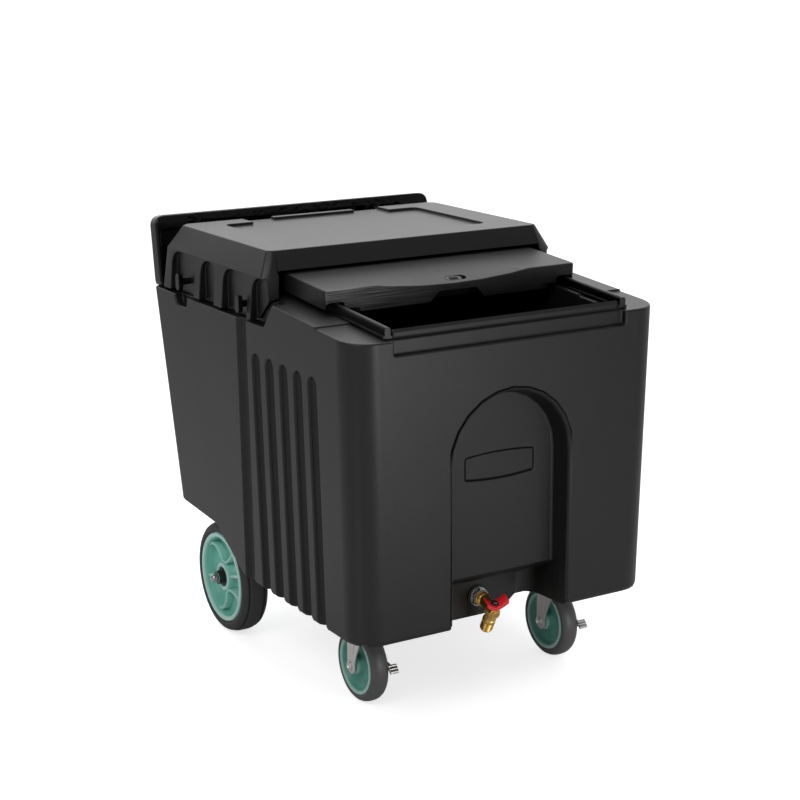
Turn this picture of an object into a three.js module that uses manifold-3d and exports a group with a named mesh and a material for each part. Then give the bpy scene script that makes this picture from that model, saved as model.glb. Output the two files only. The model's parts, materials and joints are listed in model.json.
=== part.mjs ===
// A wheeled ice chest: an insulated plastic tub on two fixed wheels and two braked swivel casters,
// with a clamped hood over the rear half, a lid that slides on two rails, a push handle and a drain valve.
// Millimetres, +Z up, +Y towards the handle, the ground at z = 0 and x = 0 in the middle.
import * as THREE from "three";
import { mergeVertices } from "three/addons/utils/BufferGeometryUtils.js";
import Module from "manifold-3d";

const wasm = await Module();
wasm.setup();

// Tub, outside
const tubFrontY = -375.8; // front face at the height of the deck's front edge
const tubRearY = 360; // rear face at ledgeZ
const tubBottomZ = 151;
const deckFrontZ = 638;
const ledgeDrop = 24; // from the deck's front edge to the step that the hood and the handle stand over
const tubHalfWidthTop = 290;
const sideDraft = 11.5; // how far each side leans in from the deck to the bottom
const frontDraft = 6.4; // how far the front face leans back from the deck to the bottom
const rearLean = 59; // how far the rear face leans out from the bottom to ledgeZ
const frontCornerRadius = 48;
const rearCornerRadiusFoot = 40;
const rearCornerRadiusTop = 9;
const bottomFillet = 9;
const deckRise = 47.7; // rise of the deck over deckRun
const deckRun = 705;

// Tub, neck under the hood
const neckFrontY = -84; // foot of the slanted step beside the neck
const neckCornerRadius = 22;
const stepReach = 29; // how far forward the slanted step beside the neck rises
const stepRise = 34; // over this height

// Tub, underside
const archStartY = 31; // where the underside starts to rise over the rear wheels
const archRun = 112;
const archRise = 68;
const archRearRise = 10; // from the end of archRun to the rear face
const archRounding = 14;
const keelDrop = 26;
const keelToWheel = 21.6;
const keelFrontY = -118;
const keelRearInset = 26; // from the tub's rear face at its foot
const keelTaper = 8;
const sumpHalfWidth = 85; // at padZ
const sumpFootHalfWidth = 48;
const padRise = 5; // to the faces that the casters bolt to
const padHalfLength = 104;
const padHalfWidth = 76;

// Front recess with the drain
const recessHalfWidth = 110;
const recessArchZ = 420; // centre of the arch
const recessDepth = 36;
const recessDraft = 7;
const recessLip = 7; // softened edge of its mouth
const drainWallDepth = 97;
const drainWallRise = 39; // from the tub's bottom to the top of the wall behind the drain
const drainRoofRise = 32; // from there to the foot of the recess's panel
const drainCornerRadius = 30;
const drainSideInset = 1;
const labelHalfWidth = 65;
const labelHeight = 36;
const labelDrop = 17; // of the label's centre below the arch's
const labelDepth = 3;
const labelBow = 4;

// Flutes and groove on each side
const fluteCount = 5;
const fluteFirstY = -51;
const flutePitch = 48.8;
const fluteTopDrop = 49; // below the ledge
const fluteRadius = 13.5;
const grooveBehindKnob = 3;
const grooveRun = 14; // how far its foot lies behind its top
const grooveHalfWidth = 17;
const grooveDepth = 11;
const thumbScallopHalfWidth = 25;
const thumbScallopDepth = 18.5;
const thumbScallopRadius = 14;
const thumbScallopReach = 16;
const thumbScallopBehindKnob = 6;

// Front edge of the deck
const rebateInset = 3.7; // of its ends within the rails' middles
const rebateHeight = 25.3;
const rebateDepth = 10;
const rimLipSetback = 14; // lip's front face behind the front face of the tub
const rimLipThickness = 8;
const rimLipHeight = 10.5;
const rimLipRounding = 2;
const deckStepLength = 112; // front part of the deck that lies a little lower
const deckStepDrop = 2.4;

// Bin
const binWall = 86; // from the tub's side at the deck
const binTaper = 12; // of each side from the mouth to the foot
const binRearWall = 66; // from the tub's rear face at the ledge
const binCornerRadius = 26;
const binFloorZ = 250;
const binDraft = 14;
const wellWall = 25; // between the drain recess and the well
const wellSideWall = 34; // of the keel
const wellRearInset = 36; // from the bin's rear
const wellFrontZ = 142;
const wellRise = 10; // from the front of its floor to the rear
const wellCornerRadius = 20;
const channelHalfWidth = 36;

// Rails and lid, in the deck's own sloping frame
const railOutset = 15.5; // of a rail's middle beyond the bin
const railWidth = 11;
const railHeight = 16.2;
const railCrown = 4.4;
const railLength = 655;
const railFootWidth = 17;
const railFootHeight = 3;
const lidOverhang = 20.1; // beyond the rails' middles
const lidLength = 355;
const lidSkirt = 31;
const lidRideHeight = 5.7; // underside of the lid's side edges over the deck
const lidPlugInset = 4; // within the bin's sides
const lidPlugDrop = 8.4; // below the side edges
const lidGrooveHalfWidth = 16.2;
const lidGrooveRadius = 6;
const lidFromFront = 175; // lid's front edge behind the tub's front face, as it stands
const lidCornerRadius = 7;
const lidEdge = 2; // bevel round the lid's top
const scoopHalfWidth = 150; // shallow thumb scoop in the lid's front edge
const scoopDepth = 10.5;
const scoopLength = 74;
const pocketX = 7; // middle of the finger pocket under the lid's front edge
const pocketHalfWidth = 52;
const pocketTopHalfWidth = 36;
const pocketHeight = 17;
const pocketDepth = 24;
const latchX = 10;
const latchHalfLength = 14.5;
const latchHalfWidth = 8;
const latchSetback = 20; // its centre behind the lid's front edge
const latchDepth = 7;
const latchProud = 1.6;
const latchTravel = 8;
const latchRidgeCount = 4;
const latchRidgePitch = 4;

// Hood
const hoodFootGap = 5; // over the ledge
const hoodSkirtHeight = 72;
const hoodRoofHeight = 40.4;
const hoodSideInset = 1.5; // of its foot within the tub's side
const hoodSideLean = 6.5; // of each side from foot to shoulder
const hoodRoofLean = 19.5; // of each side from shoulder to top
const hoodFrontSetback = 2; // of its foot behind the neck's front
const hoodFrontLean = 2;
const hoodFrontRoofLean = 23;
const hoodRearSetback = 34; // of its foot before the tub's rear face
const hoodRearLean = 8;
const hoodRearRoofLean = 28;
// Front corners of the hood, across its front and back along its side
const hoodCorner = { across: 25, back: 14, ridge: 3 };
const hoodTopCorner = { across: 13, back: 7, ridge: 1.5 };
const hoodRearCorner = 12; // chamfer of its rear corners
const hoodWall = 5;
const hoodPostWidth = 33.5; // beside its mouth
const hoodMouthRise = 9; // over the shoulder
const hoodCheekRise = 38; // its front corners are cut back from this height over the foot
const hoodCheekReach = 42; // to this far behind the front
const bayDrop = 2; // of the bays' tops below the shoulder
const bayDepth = 8;
const bayRadius = 24;
const baySetbacks = { rear: 91, narrow: 192, front: 300, corner: 386 }; // centres from the hood's rear foot
const bayWidths = { rear: 96, narrow: 58, front: 94, corner: 48 };
const panelSideInset = 64.5; // from the sides of the hood's top
const panelFrontInset = 63;
const panelRearInset = 44;
const panelChannelInset = 58; // of the water channels within the panel's sides
const panelChannelWidth = 56;
const panelMiddleInset = 14; // of the rear edge between the channels
const panelCornerRadius = 13;
const panelDepth = 5;

// Hood knobs
const knobRise = 21; // over the hood's foot
const knobSetbacks = { rear: 93, front: 332 }; // from the hood's rear foot
const knobHeight = 29;
const knobWidth = 15;
const knobCorner = 6.5;
const knobThickness = 8;
const knobNeckRadius = 6;
const knobNeckLength = 15;
const studRadius = 4;
const studReach = 30;
const studClearance = 0.4;

// Push handle, leaning with the rear face
const handleSideInset = 4; // within the tub's side
const handleOverHood = 6.6;
const handleDepth = 29;
const handleCornerRadius = 17;
const handleFootRadius = 11;
const handleRim = 9;
const handleWall = 7;
const handleBarHeight = 27;
const gripInnerX = 45; // each hand opening runs from here to gripOuterInset
const gripOuterInset = 60; // from the handle's side
const gripHeight = 34;
const fingerCount = 7;
const fingerRadius = 11;
const fingerDepth = 9;
const handleScrewInset = 24; // from the handle's side
const handleScrewRadius = 4;
const handleScrewHeadAcross = 13;
const handleScrewHeadHeight = 5;
const handleScrewLength = 34;

// Rear axle and wheels
const axleY = 185.5;
const axleRadius = 9.5;
const axleEnd = 6.4; // past the wheels' faces
const rearTyreRadius = 101.4;
const rearTyreThickness = 19.1;
const rearWheelWidth = 50;
const rearWheelInset = 22.9; // of the wheels' faces within the tub's bottom
const rearHubRadius = 25;
const rearWebThickness = 8;
const rearRimThickness = 6;
const ribThickness = 4.4;
const ribSetback = 7; // rib tops behind the wheel's face
const ribAxisAngle = 15; // degrees from straight forward upwards, the line that the ribs mirror about
// A wing's points as shares of its reach, with degrees from that line
const ribWingShares = [[1, 32], [0.74, 30], [0.38, 46], [0.47, 64], [0.62, 83], [1, 119]];
const tyreShoulder = 9;
const washerThickness = 2.5;
const washerRadius = 17;
const nutAcross = 27;
const nutHeight = 11;
const nutDomeRadius = 10.5;
const nutDomeHeight = 8;
const bracketInset = 26; // of the brackets' middles within the keel's sides
const bracketThickness = 5;
const bracketPlateWidth = 46;
const bracketPlateLength = 74;
const bracketPlateThickness = 4;
const bracketEyeRadius = 17;
const spacerRadius = 13.5;

// Swivel casters
const casterInset = 89.5; // within the tub's side at its bottom
const casterSwivelSetback = 121.8; // from the tub's front
const casterTrail = 35;
const casterRadius = 63.5;
const casterTyreThickness = 12.7;
const casterWidth = 32;
const casterHubRadius = 16;
const casterWebThickness = 9;
const casterRimThickness = 4.2;
const plateLength = 104;
const plateWidth = 82;
const plateThickness = 4;
const plateCornerRadius = 9;
const plateBoltX = 28;
const plateBoltY = 40;
const plateBoltRadius = 4;
const plateBoltHeadRadius = 7;
const plateBoltHeadHeight = 5;
const plateBoltLength = 26;
const raceRadius = 29;
const raceFootRadius = 24;
const raceHeight = 8;
const crownRadius = 32;
const crownHeight = 9;
const crownWall = 3.2;
const kingpinRadius = 7;
const kingpinHeadRadius = 11;
const kingpinHeadHeight = 5;
const legThickness = 3;
const legGap = 2.6; // between the wheel and a leg
const legTopHalfWidth = 25;
const legEyeRadius = 12;
const casterBoltRadius = 6;
const casterBoltHeadAcross = 18;
const casterBoltHeadHeight = 6.5;
const casterNutHeight = 9;
const brakeThickness = 2.6;
const brakeEyeRadius = 13;
const brakeArmWidth = 15;
const brakeReach = 60;
const brakeTabLength = 19;
const brakeTabWidth = 17;
const brakeTabTilt = 24;

// Drain valve
const drainRise = 9; // over the tub's bottom
const drainBoreRadius = 12.5;
const drainTubeRadius = 12;
const drainTubeBore = 8.5;
const drainSpigotWall = 1.5;
const drainFlangeRadius = 16.5;
const drainFlangeThickness = 4;
const gasketRadius = 20;
const gasketThickness = 3;
const drainWasherRadius = 16.8;
const drainWasherThickness = 1.8;
const drainNutAcross = 27;
const drainNutHeight = 6.5;
const valveTilt = 27; // degrees that the body points down from level
const valveInletRadius = 12.6;
const valveInletLength = 7.5;
const valveBodyRadius = 10.5;
const valveToStem = 27.5;
const valveToCap = 12; // from the stem to the cap's face
const valveOutletReach = 41;
const valveOutletRadius = 10;
const valveOutletBore = 5;
const valveThreadRadius = 10.8;
const valveThreadLength = 13;
const valveBallRadius = 6.4;
const valveBallPort = 4;
const valveChamberRadius = 7;
const bonnetRadius = 7.5;
const bonnetHeight = 14.5;
const stemRadius = 3;
const stemTangWidth = 2;
const stemTangDepth = 2;
const capAcross = 17;
const capHeight = 3.4;
const capSunk = 1.8;
const leverHalfSpan = 25;
const leverThickness = 2.4;
const leverRise = 7;
const leverHalfWidth = 9;
const leverHubRadius = 7;
const leverScrewAcross = 8.8;
const leverScrewHeight = 3;

// Drain shelf
const shelfThickness = 5;
const shelfZ = 200;
const shelfMargin = 5;
const shelfLegRadius = 9;
const shelfSlotRows = 5;
const shelfSlotColumns = 4;
const shelfSlotLength = 70;
const shelfSlotWidth = 9;

// Fits
const seat = 0.3; // gap between pieces that touch
const hoodFit = 0.4; // between the hood and the neck that it is clamped to
const overrun = 20; // how far a cut runs past what it cuts
const bury = 1; // how deep a joined piece reaches into its neighbour
const roundSteps = 28; // facets round a wheel
const smallSteps = 12; // round a hub, a tube or half an arch
const holeSteps = 8; // round a bolt
const cornerSteps = 4; // round a quarter turn
const softSteps = 3; // round a small fillet

// Heights worked out from those
const ledgeZ = deckFrontZ - ledgeDrop;
const archTopZ = tubBottomZ + archRise;
const archRearZ = archTopZ + archRearRise;
const keelBottomZ = tubBottomZ - keelDrop;
const padZ = tubBottomZ + padRise;
const drainWallTopZ = tubBottomZ + drainWallRise;
const recessPanelFootZ = drainWallTopZ + drainRoofRise;
const labelCentreZ = recessArchZ - labelDrop;
const fluteTopZ = ledgeZ - fluteTopDrop;
const wellRearZ = wellFrontZ + wellRise;
const hoodFootZ = ledgeZ + hoodFootGap;
const hoodShoulderZ = hoodFootZ + hoodSkirtHeight;
const hoodTopZ = hoodShoulderZ + hoodRoofHeight;
const hoodMouthZ = hoodShoulderZ + hoodMouthRise;
const bayTopZ = hoodShoulderZ - bayDrop;
const knobZ = hoodFootZ + knobRise;
const handleTopZ = hoodTopZ + handleOverHood;
const axleZ = rearTyreRadius;
const drainZ = tubBottomZ + drainRise;

// Places along the chest
const archTopY = archStartY + archRun;
const binRearY = tubRearY - binRearWall;
const wellRearY = binRearY - wellRearInset;
const hoodFootFrontY = neckFrontY + hoodFrontSetback;
const hoodShoulderFrontY = hoodFootFrontY + hoodFrontLean;
const hoodTopFrontY = hoodShoulderFrontY + hoodFrontRoofLean;
const hoodFootRearY = tubRearY - hoodRearSetback;
const hoodShoulderRearY = hoodFootRearY - hoodRearLean;
const hoodTopRearY = hoodShoulderRearY - hoodRearRoofLean;
const panelFrontY = hoodTopFrontY + panelFrontInset;
const panelRearY = hoodTopRearY - panelRearInset;
const panelMiddleRearY = hoodTopRearY - panelMiddleInset;
const knobYs = { rear: hoodFootRearY - knobSetbacks.rear, front: hoodFootRearY - knobSetbacks.front };
const grooveTopY = knobYs.front + grooveBehindKnob;
const grooveBottomY = grooveTopY + grooveRun;
const casterSwivelY = tubFrontY + casterSwivelSetback;

// Places and widths across the chest
const tubHalfWidthBottom = tubHalfWidthTop - sideDraft;
const binHalfWidth = tubHalfWidthTop - binWall;
const binHalfWidthFoot = binHalfWidth - binTaper;
const railCentreX = binHalfWidth + railOutset;
const rebateHalfWidth = railCentreX - rebateInset;
const lidHalfWidth = railCentreX + lidOverhang;
const lidPlugHalfWidth = binHalfWidth - lidPlugInset;
const hoodFootHalfWidth = tubHalfWidthTop - hoodSideInset;
const hoodShoulderHalfWidth = hoodFootHalfWidth - hoodSideLean;
const hoodTopHalfWidth = hoodShoulderHalfWidth - hoodRoofLean;
const hoodMouthHalfWidth = hoodFootHalfWidth - hoodPostWidth;
const panelHalfWidth = hoodTopHalfWidth - panelSideInset;
const panelChannelHalfWidth = panelHalfWidth - panelChannelInset;
const panelMiddleHalfWidth = panelChannelHalfWidth - panelChannelWidth;
const handleHalfWidth = tubHalfWidthTop - handleSideInset;
const gripOuterX = handleHalfWidth - gripOuterInset;
const handleScrewX = handleHalfWidth - handleScrewInset;
const rearWheelOuterX = tubHalfWidthBottom - rearWheelInset;
const keelHalfWidth = rearWheelOuterX - rearWheelWidth - keelToWheel;
const wellHalfWidth = keelHalfWidth - wellSideWall;
const bracketX = keelHalfWidth - bracketInset;
const axleHalfLength = rearWheelOuterX + axleEnd;
const rearRimRadius = rearTyreRadius - rearTyreThickness;
const casterX = tubHalfWidthBottom - casterInset;
const casterRimRadius = casterRadius - casterTyreThickness;
const legHalfSpan = casterWidth / 2 + legGap; // from the caster's middle to a leg's inner face

const atOrigin = [0, 0, 0];
const X = new THREE.Vector3(1, 0, 0);
const Y = new THREE.Vector3(0, 1, 0);
const Z = new THREE.Vector3(0, 0, 1);
const sides = { left: -1, right: 1 };

// A manifold solid from a closed three.js geometry.
function solid(geometry) {
  const bare = geometry.clone();
  for (const name of Object.keys(bare.attributes)) if (name !== "position") bare.deleteAttribute(name);
  const merged = mergeVertices(bare);
  return new wasm.Manifold(
    new wasm.Mesh({
      numProp: 3,
      vertProperties: merged.attributes.position.array,
      triVerts: new Uint32Array(merged.index.array),
    }),
  );
}

// A flat-shaded geometry from a manifold solid.
function geometryOf(made) {
  const mesh = made.getMesh();
  const geometry = new THREE.BufferGeometry()
    .setAttribute("position", new THREE.BufferAttribute(mesh.vertProperties, 3))
    .setIndex(new THREE.BufferAttribute(mesh.triVerts, 1))
    .toNonIndexed();
  geometry.computeVertexNormals();
  return geometry;
}

function join(...pieces) {
  return pieces.reduce((all, one) => all.add(one));
}

function cut(from, ...pieces) {
  return pieces.reduce((all, one) => all.subtract(one), from);
}

// A block between two opposite corners.
function block(x0, x1, y0, y1, z0, z1) {
  const geometry = new THREE.BoxGeometry(x1 - x0, y1 - y0, z1 - z0);
  geometry.translate((x0 + x1) / 2, (y0 + y1) / 2, (z0 + z1) / 2);
  return solid(geometry);
}

// A closed outline with rounded corners: each corner is [a, b] or [a, b, radius].
function rounded(corners, steps = cornerSteps) {
  const points = [];
  corners.forEach(([a, b, radius = 0], i) => {
    const here = new THREE.Vector2(a, b);
    const before = new THREE.Vector2(...corners.at(i - 1).slice(0, 2)).sub(here);
    const after = new THREE.Vector2(...corners[(i + 1) % corners.length].slice(0, 2)).sub(here);
    if (!radius) return points.push(here);
    const half = Math.acos(before.dot(after) / before.length() / after.length()) / 2;
    const reach = radius / Math.tan(half);
    const start = here.clone().addScaledVector(before.normalize(), reach);
    const end = here.clone().addScaledVector(after.normalize(), reach);
    const curve = new THREE.QuadraticBezierCurve(start, here, end);
    const centre = here.clone().addScaledVector(before.clone().add(after).normalize(),
      radius / Math.sin(half));
    for (let k = 0; k <= steps; k++) {
      const spot = curve.getPoint(k / steps).sub(centre).setLength(radius).add(centre);
      points.push(spot);
    }
  });
  return points;
}

function rectangle(a0, a1, b0, b1, radius = 0, steps = cornerSteps) {
  return rounded([[a0, b0, radius], [a1, b0, radius], [a1, b1, radius], [a0, b1, radius]], steps);
}

// A bar of a section: along X the section is (y, z), along Y it is (x, z), along Z it is (x, y).
function bar(points, axis, from, to) {
  const depth = to - from;
  const geometry = new THREE.ExtrudeGeometry(new THREE.Shape(points), { depth, bevelEnabled: false });
  const frame = new THREE.Matrix4();
  if (axis === X) frame.makeBasis(Y, Z, X).setPosition(from, 0, 0);
  if (axis === Y) frame.makeBasis(X, Z, Y.clone().negate()).setPosition(0, to, 0);
  if (axis === Z) frame.setPosition(0, 0, from);
  return solid(geometry.applyMatrix4(frame));
}

// A bar along X on one side, between two distances from the middle.
function sideBar(points, side, near, far) {
  return side < 0 ? bar(points, X, -far, -near) : bar(points, X, near, far);
}

// A solid through rings of equally many points, capped flat at both ends.
function loft(rings) {
  const count = rings[0].length;
  const spots = rings.flat();
  const faces = [];
  for (let r = 0; r + 1 < rings.length; r++)
    for (let k = 0; k < count; k++) {
      const a = r * count + k;
      const b = r * count + ((k + 1) % count);
      faces.push(a, b, b + count, a, b + count, a + count);
    }
  const last = (rings.length - 1) * count;
  for (let k = 1; k + 1 < count; k++) faces.push(0, k + 1, k, last, last + k, last + k + 1);
  let volume = 0;
  for (let i = 0; i < faces.length; i += 3)
    volume += spots[faces[i]].dot(spots[faces[i + 1]].clone().cross(spots[faces[i + 2]]));
  if (volume < 0) faces.reverse();
  const geometry = new THREE.BufferGeometry().setFromPoints(spots);
  return solid(geometry.setIndex(faces));
}

// The steps of a quarter-round fillet: how far out and how far up each is.
function fillet(radius) {
  const places = [];
  for (let k = 0; k <= softSteps; k++) {
    const angle = ((k / softSteps) * Math.PI) / 2;
    places.push([radius * Math.sin(angle), radius * (1 - Math.cos(angle))]);
  }
  return places;
}

// A level ring of the outline (x, y) at height z.
function level(points, z) {
  return points.map((p) => new THREE.Vector3(p.x, p.y, z));
}

// A solid of revolution: the profile is [radius, distance] along the axis from the origin.
function turned(profile, origin, axis, steps = roundSteps) {
  const points = profile.map(([r, t]) => new THREE.Vector2(r, t));
  const geometry = new THREE.LatheGeometry(points, steps);
  const turn = new THREE.Quaternion().setFromUnitVectors(Y, axis.clone().normalize());
  geometry.applyQuaternion(turn).translate(...origin);
  const made = solid(geometry);
  if (made.volume() > 0) return made;
  return turned([...profile].reverse(), origin, axis, steps);
}

function rod(radius, from, to, origin, axis, steps = roundSteps) {
  return turned([[0, from], [radius, from], [radius, to], [0, to]], origin, axis, steps);
}

function ring(inner, outer, from, to, origin, axis, steps = roundSteps) {
  return turned([[inner, from], [outer, from], [outer, to], [inner, to], [inner, from]], origin, axis,
    steps);
}

// A hexagonal prism across its flats, from the origin along the axis.
function hexagon(across, from, to, origin, axis) {
  const corner = across / Math.sqrt(3);
  return rod(corner, from, to, origin, axis, 6);
}

function moved(made, matrix) {
  return solid(geometryOf(made).applyMatrix4(matrix));
}

// Shape of the tub's walls at a height
const hoodOuterX = (z) =>
  THREE.MathUtils.mapLinear(z, hoodFootZ, hoodShoulderZ, hoodFootHalfWidth, hoodShoulderHalfWidth);
const bayFaceX = hoodOuterX(bayTopZ) - bayDepth;
const neckHalfWidth = bayFaceX - hoodWall - hoodFit;
const neckFrontHalfWidth = hoodMouthHalfWidth - hoodFit;
const neckShoulderY = hoodShoulderFrontY + hoodWall + hoodFit;
const neckRearY = hoodShoulderRearY - hoodWall - hoodFit;
const wallHeight = deckFrontZ - tubBottomZ;
const wallShare = (z) => (z - tubBottomZ) / wallHeight;
const halfWidthAt = (z) => tubHalfWidthBottom + (tubHalfWidthTop - tubHalfWidthBottom) * wallShare(z);
const frontAt = (z) => tubFrontY + frontDraft * (1 - wallShare(z));
const rearAt = (z) => tubRearY - (rearLean * (ledgeZ - z)) / (ledgeZ - tubBottomZ);
const deckAngle = Math.atan(deckRise / deckRun);
const deckAt = (y) => deckFrontZ + ((y - tubFrontY) * deckRise) / deckRun;
const sideLean = Math.atan((tubHalfWidthTop - tubHalfWidthBottom) / wallHeight);
const rearLeanAngle = Math.atan(rearLean / (ledgeZ - tubBottomZ));

// The deck's own frame: its origin on the front edge, y up the slope and z square to it.
const deckFrame = new THREE.Matrix4().makeRotationX(deckAngle).setPosition(0, tubFrontY, deckFrontZ);
// The frame of the rear face, its origin on the ledge.
const rearFrame = new THREE.Matrix4().makeRotationX(-rearLeanAngle).setPosition(0, tubRearY, ledgeZ);

const tubTopZ = deckAt(tubRearY) + overrun;

// A level section of the tub, whose rear corners grow rounder downwards.
function tubSection(z, inset = 0) {
  const half = halfWidthAt(z) - inset;
  const front = frontAt(z) + inset;
  const rear = rearAt(z) - inset;
  const rearCorner = THREE.MathUtils.mapLinear(z, tubBottomZ, tubTopZ, rearCornerRadiusFoot,
    rearCornerRadiusTop);
  return level(
    rounded([
      [-half, front, frontCornerRadius - inset],
      [half, front, frontCornerRadius - inset],
      [half, rear, rearCorner - inset],
      [-half, rear, rearCorner - inset],
    ], cornerSteps + softSteps),
    z,
  );
}

function tubShell() {
  const rings = [];
  for (const [out, up] of fillet(bottomFillet)) rings.push(tubSection(tubBottomZ + up, bottomFillet - out));
  rings.push(tubSection(tubTopZ));
  return loft(rings);
}

// Room over the rear wheels: the underside rises behind archStartY.
function wheelArch() {
  const reach = rearAt(archRearZ) + overrun;
  const rise = (archRearZ - archTopZ) / (rearAt(archRearZ) - archTopY);
  const outline = rounded([
    [archStartY, tubBottomZ - overrun],
    [reach, tubBottomZ - overrun],
    [reach, archRearZ + rise * overrun],
    [archTopY, archTopZ, archRounding],
    [archStartY, tubBottomZ, archRounding],
  ]);
  return bar(outline, X, -tubHalfWidthTop - overrun, tubHalfWidthTop + overrun);
}

function keel() {
  const rear = rearAt(archRearZ) - keelRearInset;
  const outline = (inset) =>
    rectangle(-keelHalfWidth + inset, keelHalfWidth - inset, keelFrontY + inset, rear - inset,
      binCornerRadius);
  return loft([
    level(outline(keelTaper), keelBottomZ),
    level(outline(0), keelBottomZ + keelTaper * 2),
    level(outline(0), archRearZ + overrun),
  ]);
}

function sump() {
  const wall = frontAt(drainZ) + drainWallDepth;
  const outline = rounded([
    [-sumpFootHalfWidth, keelBottomZ, bottomFillet],
    [sumpFootHalfWidth, keelBottomZ, bottomFillet],
    [sumpHalfWidth, padZ],
    [sumpHalfWidth, padZ + overrun],
    [-sumpHalfWidth, padZ + overrun],
    [-sumpHalfWidth, padZ],
  ], softSteps);
  return bar(outline, Y, wall, keelFrontY + keelTaper + overrun);
}

function casterPad(side) {
  const x = side * casterX;
  return block(x - padHalfWidth, x + padHalfWidth, casterSwivelY - padHalfLength,
    casterSwivelY + padHalfLength,
    tubBottomZ - overrun, padZ);
}

function archOutline(halfWidth, y) {
  const points = [];
  const steps = smallSteps;
  for (let k = 0; k <= steps; k++) {
    const angle = (k / steps) * Math.PI;
    const spot = new THREE.Vector3(halfWidth * Math.cos(angle), y,
      recessArchZ + halfWidth * Math.sin(angle));
    points.push(spot);
  }
  points.push(new THREE.Vector3(-halfWidth, y, tubBottomZ - overrun));
  points.push(new THREE.Vector3(halfWidth, y, tubBottomZ - overrun));
  return points;
}

// The arched recess in the front face, with a soft mouth and a drafted wall.
function frontRecess() {
  const face = frontAt(recessArchZ);
  const rings = [archOutline(recessHalfWidth + recessLip, face - overrun)];
  for (const [out, up] of fillet(recessLip)) rings.push(archOutline(recessHalfWidth + recessLip - out,
    face + up));
  rings.push(archOutline(recessHalfWidth - recessDraft, face + recessDepth));
  return loft(rings);
}

// The deeper space below the recess's panel, where the drain valve sits.
function drainRecess() {
  const face = frontAt(drainZ);
  const profile = [
    new THREE.Vector2(face - overrun, tubBottomZ - overrun),
    new THREE.Vector2(face + drainWallDepth, tubBottomZ - overrun),
    new THREE.Vector2(face + drainWallDepth, drainWallTopZ),
    new THREE.Vector2(face + recessDepth, recessPanelFootZ),
    new THREE.Vector2(face - overrun, recessPanelFootZ),
  ];
  const half = recessHalfWidth - drainSideInset;
  const plan = rounded([
    [-half, face - overrun],
    [half, face - overrun],
    [half - recessDraft, face + drainWallDepth, drainCornerRadius],
    [-half + recessDraft, face + drainWallDepth, drainCornerRadius],
  ]);
  return bar(profile, X, -half, half).intersect(bar(plan, Z, tubBottomZ - overrun, recessPanelFootZ));
}

// The bare bowed label field on the recess's panel.
function labelField() {
  const panelY = frontAt(recessArchZ) + recessDepth;
  const low = labelCentreZ - labelHeight / 2;
  const high = labelCentreZ + labelHeight / 2;
  const steps = holeSteps;
  const points = [];
  for (let k = 0; k <= steps; k++) {
    const share = (2 * k) / steps - 1;
    points.push(new THREE.Vector2(share * labelHalfWidth, low - labelBow * (1 - share * share)));
  }
  for (let k = 0; k <= steps; k++) {
    const share = 1 - (2 * k) / steps;
    points.push(new THREE.Vector2(share * labelHalfWidth, high + labelBow * (1 - share * share)));
  }
  return bar(points, Y, panelY - overrun, panelY + labelDepth);
}

// A half-round flute down a side, from its round top past the bottom edge.
function flute(side, y) {
  const length = fluteTopZ - fluteRadius - tubBottomZ + overrun * 2;
  const geometry = new THREE.CapsuleGeometry(fluteRadius, length, softSteps, smallSteps);
  geometry.applyMatrix4(new THREE.Matrix4().makeRotationX(Math.PI / 2));
  geometry.translate(0, 0, -length / 2);
  geometry.applyMatrix4(new THREE.Matrix4().makeRotationY(side * sideLean));
  const top = fluteTopZ - fluteRadius;
  geometry.translate(side * halfWidthAt(top), y, top);
  return solid(geometry);
}

// The wide groove that runs from the front knob to the bottom edge.
function groove(side) {
  const section = (y, z) => {
    const points = [];
    for (let k = 0; k < smallSteps; k++) {
      const angle = (k / smallSteps) * 2 * Math.PI;
      const out = side * (halfWidthAt(z) + Math.cos(angle) * grooveDepth);
      points.push(new THREE.Vector3(out, y + Math.sin(angle) * grooveHalfWidth, z));
    }
    return points;
  };
  const fall = (grooveBottomY - grooveTopY) / (ledgeZ - tubBottomZ);
  return loft([
    section(grooveTopY - fall * overrun, ledgeZ + overrun),
    section(grooveBottomY + fall * overrun, tubBottomZ - overrun),
  ]);
}

// A finger relief in the ledge under the rear knob.
function thumbScallop(side) {
  const outer = halfWidthAt(ledgeZ);
  const front = knobYs.rear + thumbScallopBehindKnob - thumbScallopHalfWidth;
  const rear = front + thumbScallopHalfWidth * 2;
  const outline = rounded([
    [front, ledgeZ + overrun],
    [front, ledgeZ - thumbScallopDepth, thumbScallopRadius],
    [rear, ledgeZ - thumbScallopDepth, thumbScallopRadius],
    [rear, ledgeZ + overrun],
  ]);
  return sideBar(outline, side, outer - thumbScallopReach, outer + overrun);
}

// All that stands above the ledge behind the slanted step, apart from the neck.
function aboveLedge() {
  const high = deckAt(tubRearY) + overrun * 2;
  const rear = tubRearY + rearLean + overrun;
  const outline = [
    new THREE.Vector2(neckFrontY, ledgeZ),
    new THREE.Vector2(rear, ledgeZ),
    new THREE.Vector2(rear, high),
    new THREE.Vector2(neckFrontY - (stepReach * (high - ledgeZ)) / stepRise, high),
  ];
  const space = bar(outline, X, -tubHalfWidthTop - overrun, tubHalfWidthTop + overrun);
  const low = ledgeZ - overrun;
  const neck = join(
    bar(rectangle(-neckHalfWidth, neckHalfWidth, neckShoulderY, neckRearY, neckCornerRadius), Z, low,
      high + overrun),
    block(-neckFrontHalfWidth, neckFrontHalfWidth, neckFrontY - (stepReach * high) / stepRise, 0, low,
      high + overrun),
  );
  return cut(space, neck);
}

function aboveDeck() {
  const length = tubRearY - tubFrontY + overrun * 3;
  const wide = tubHalfWidthTop + overrun;
  const above = block(-wide, wide, -overrun, length, 0, hoodTopZ - ledgeZ);
  const step = block(-wide, wide, -overrun, deckStepLength, -deckStepDrop, overrun);
  return moved(join(above, step), deckFrame);
}

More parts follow.
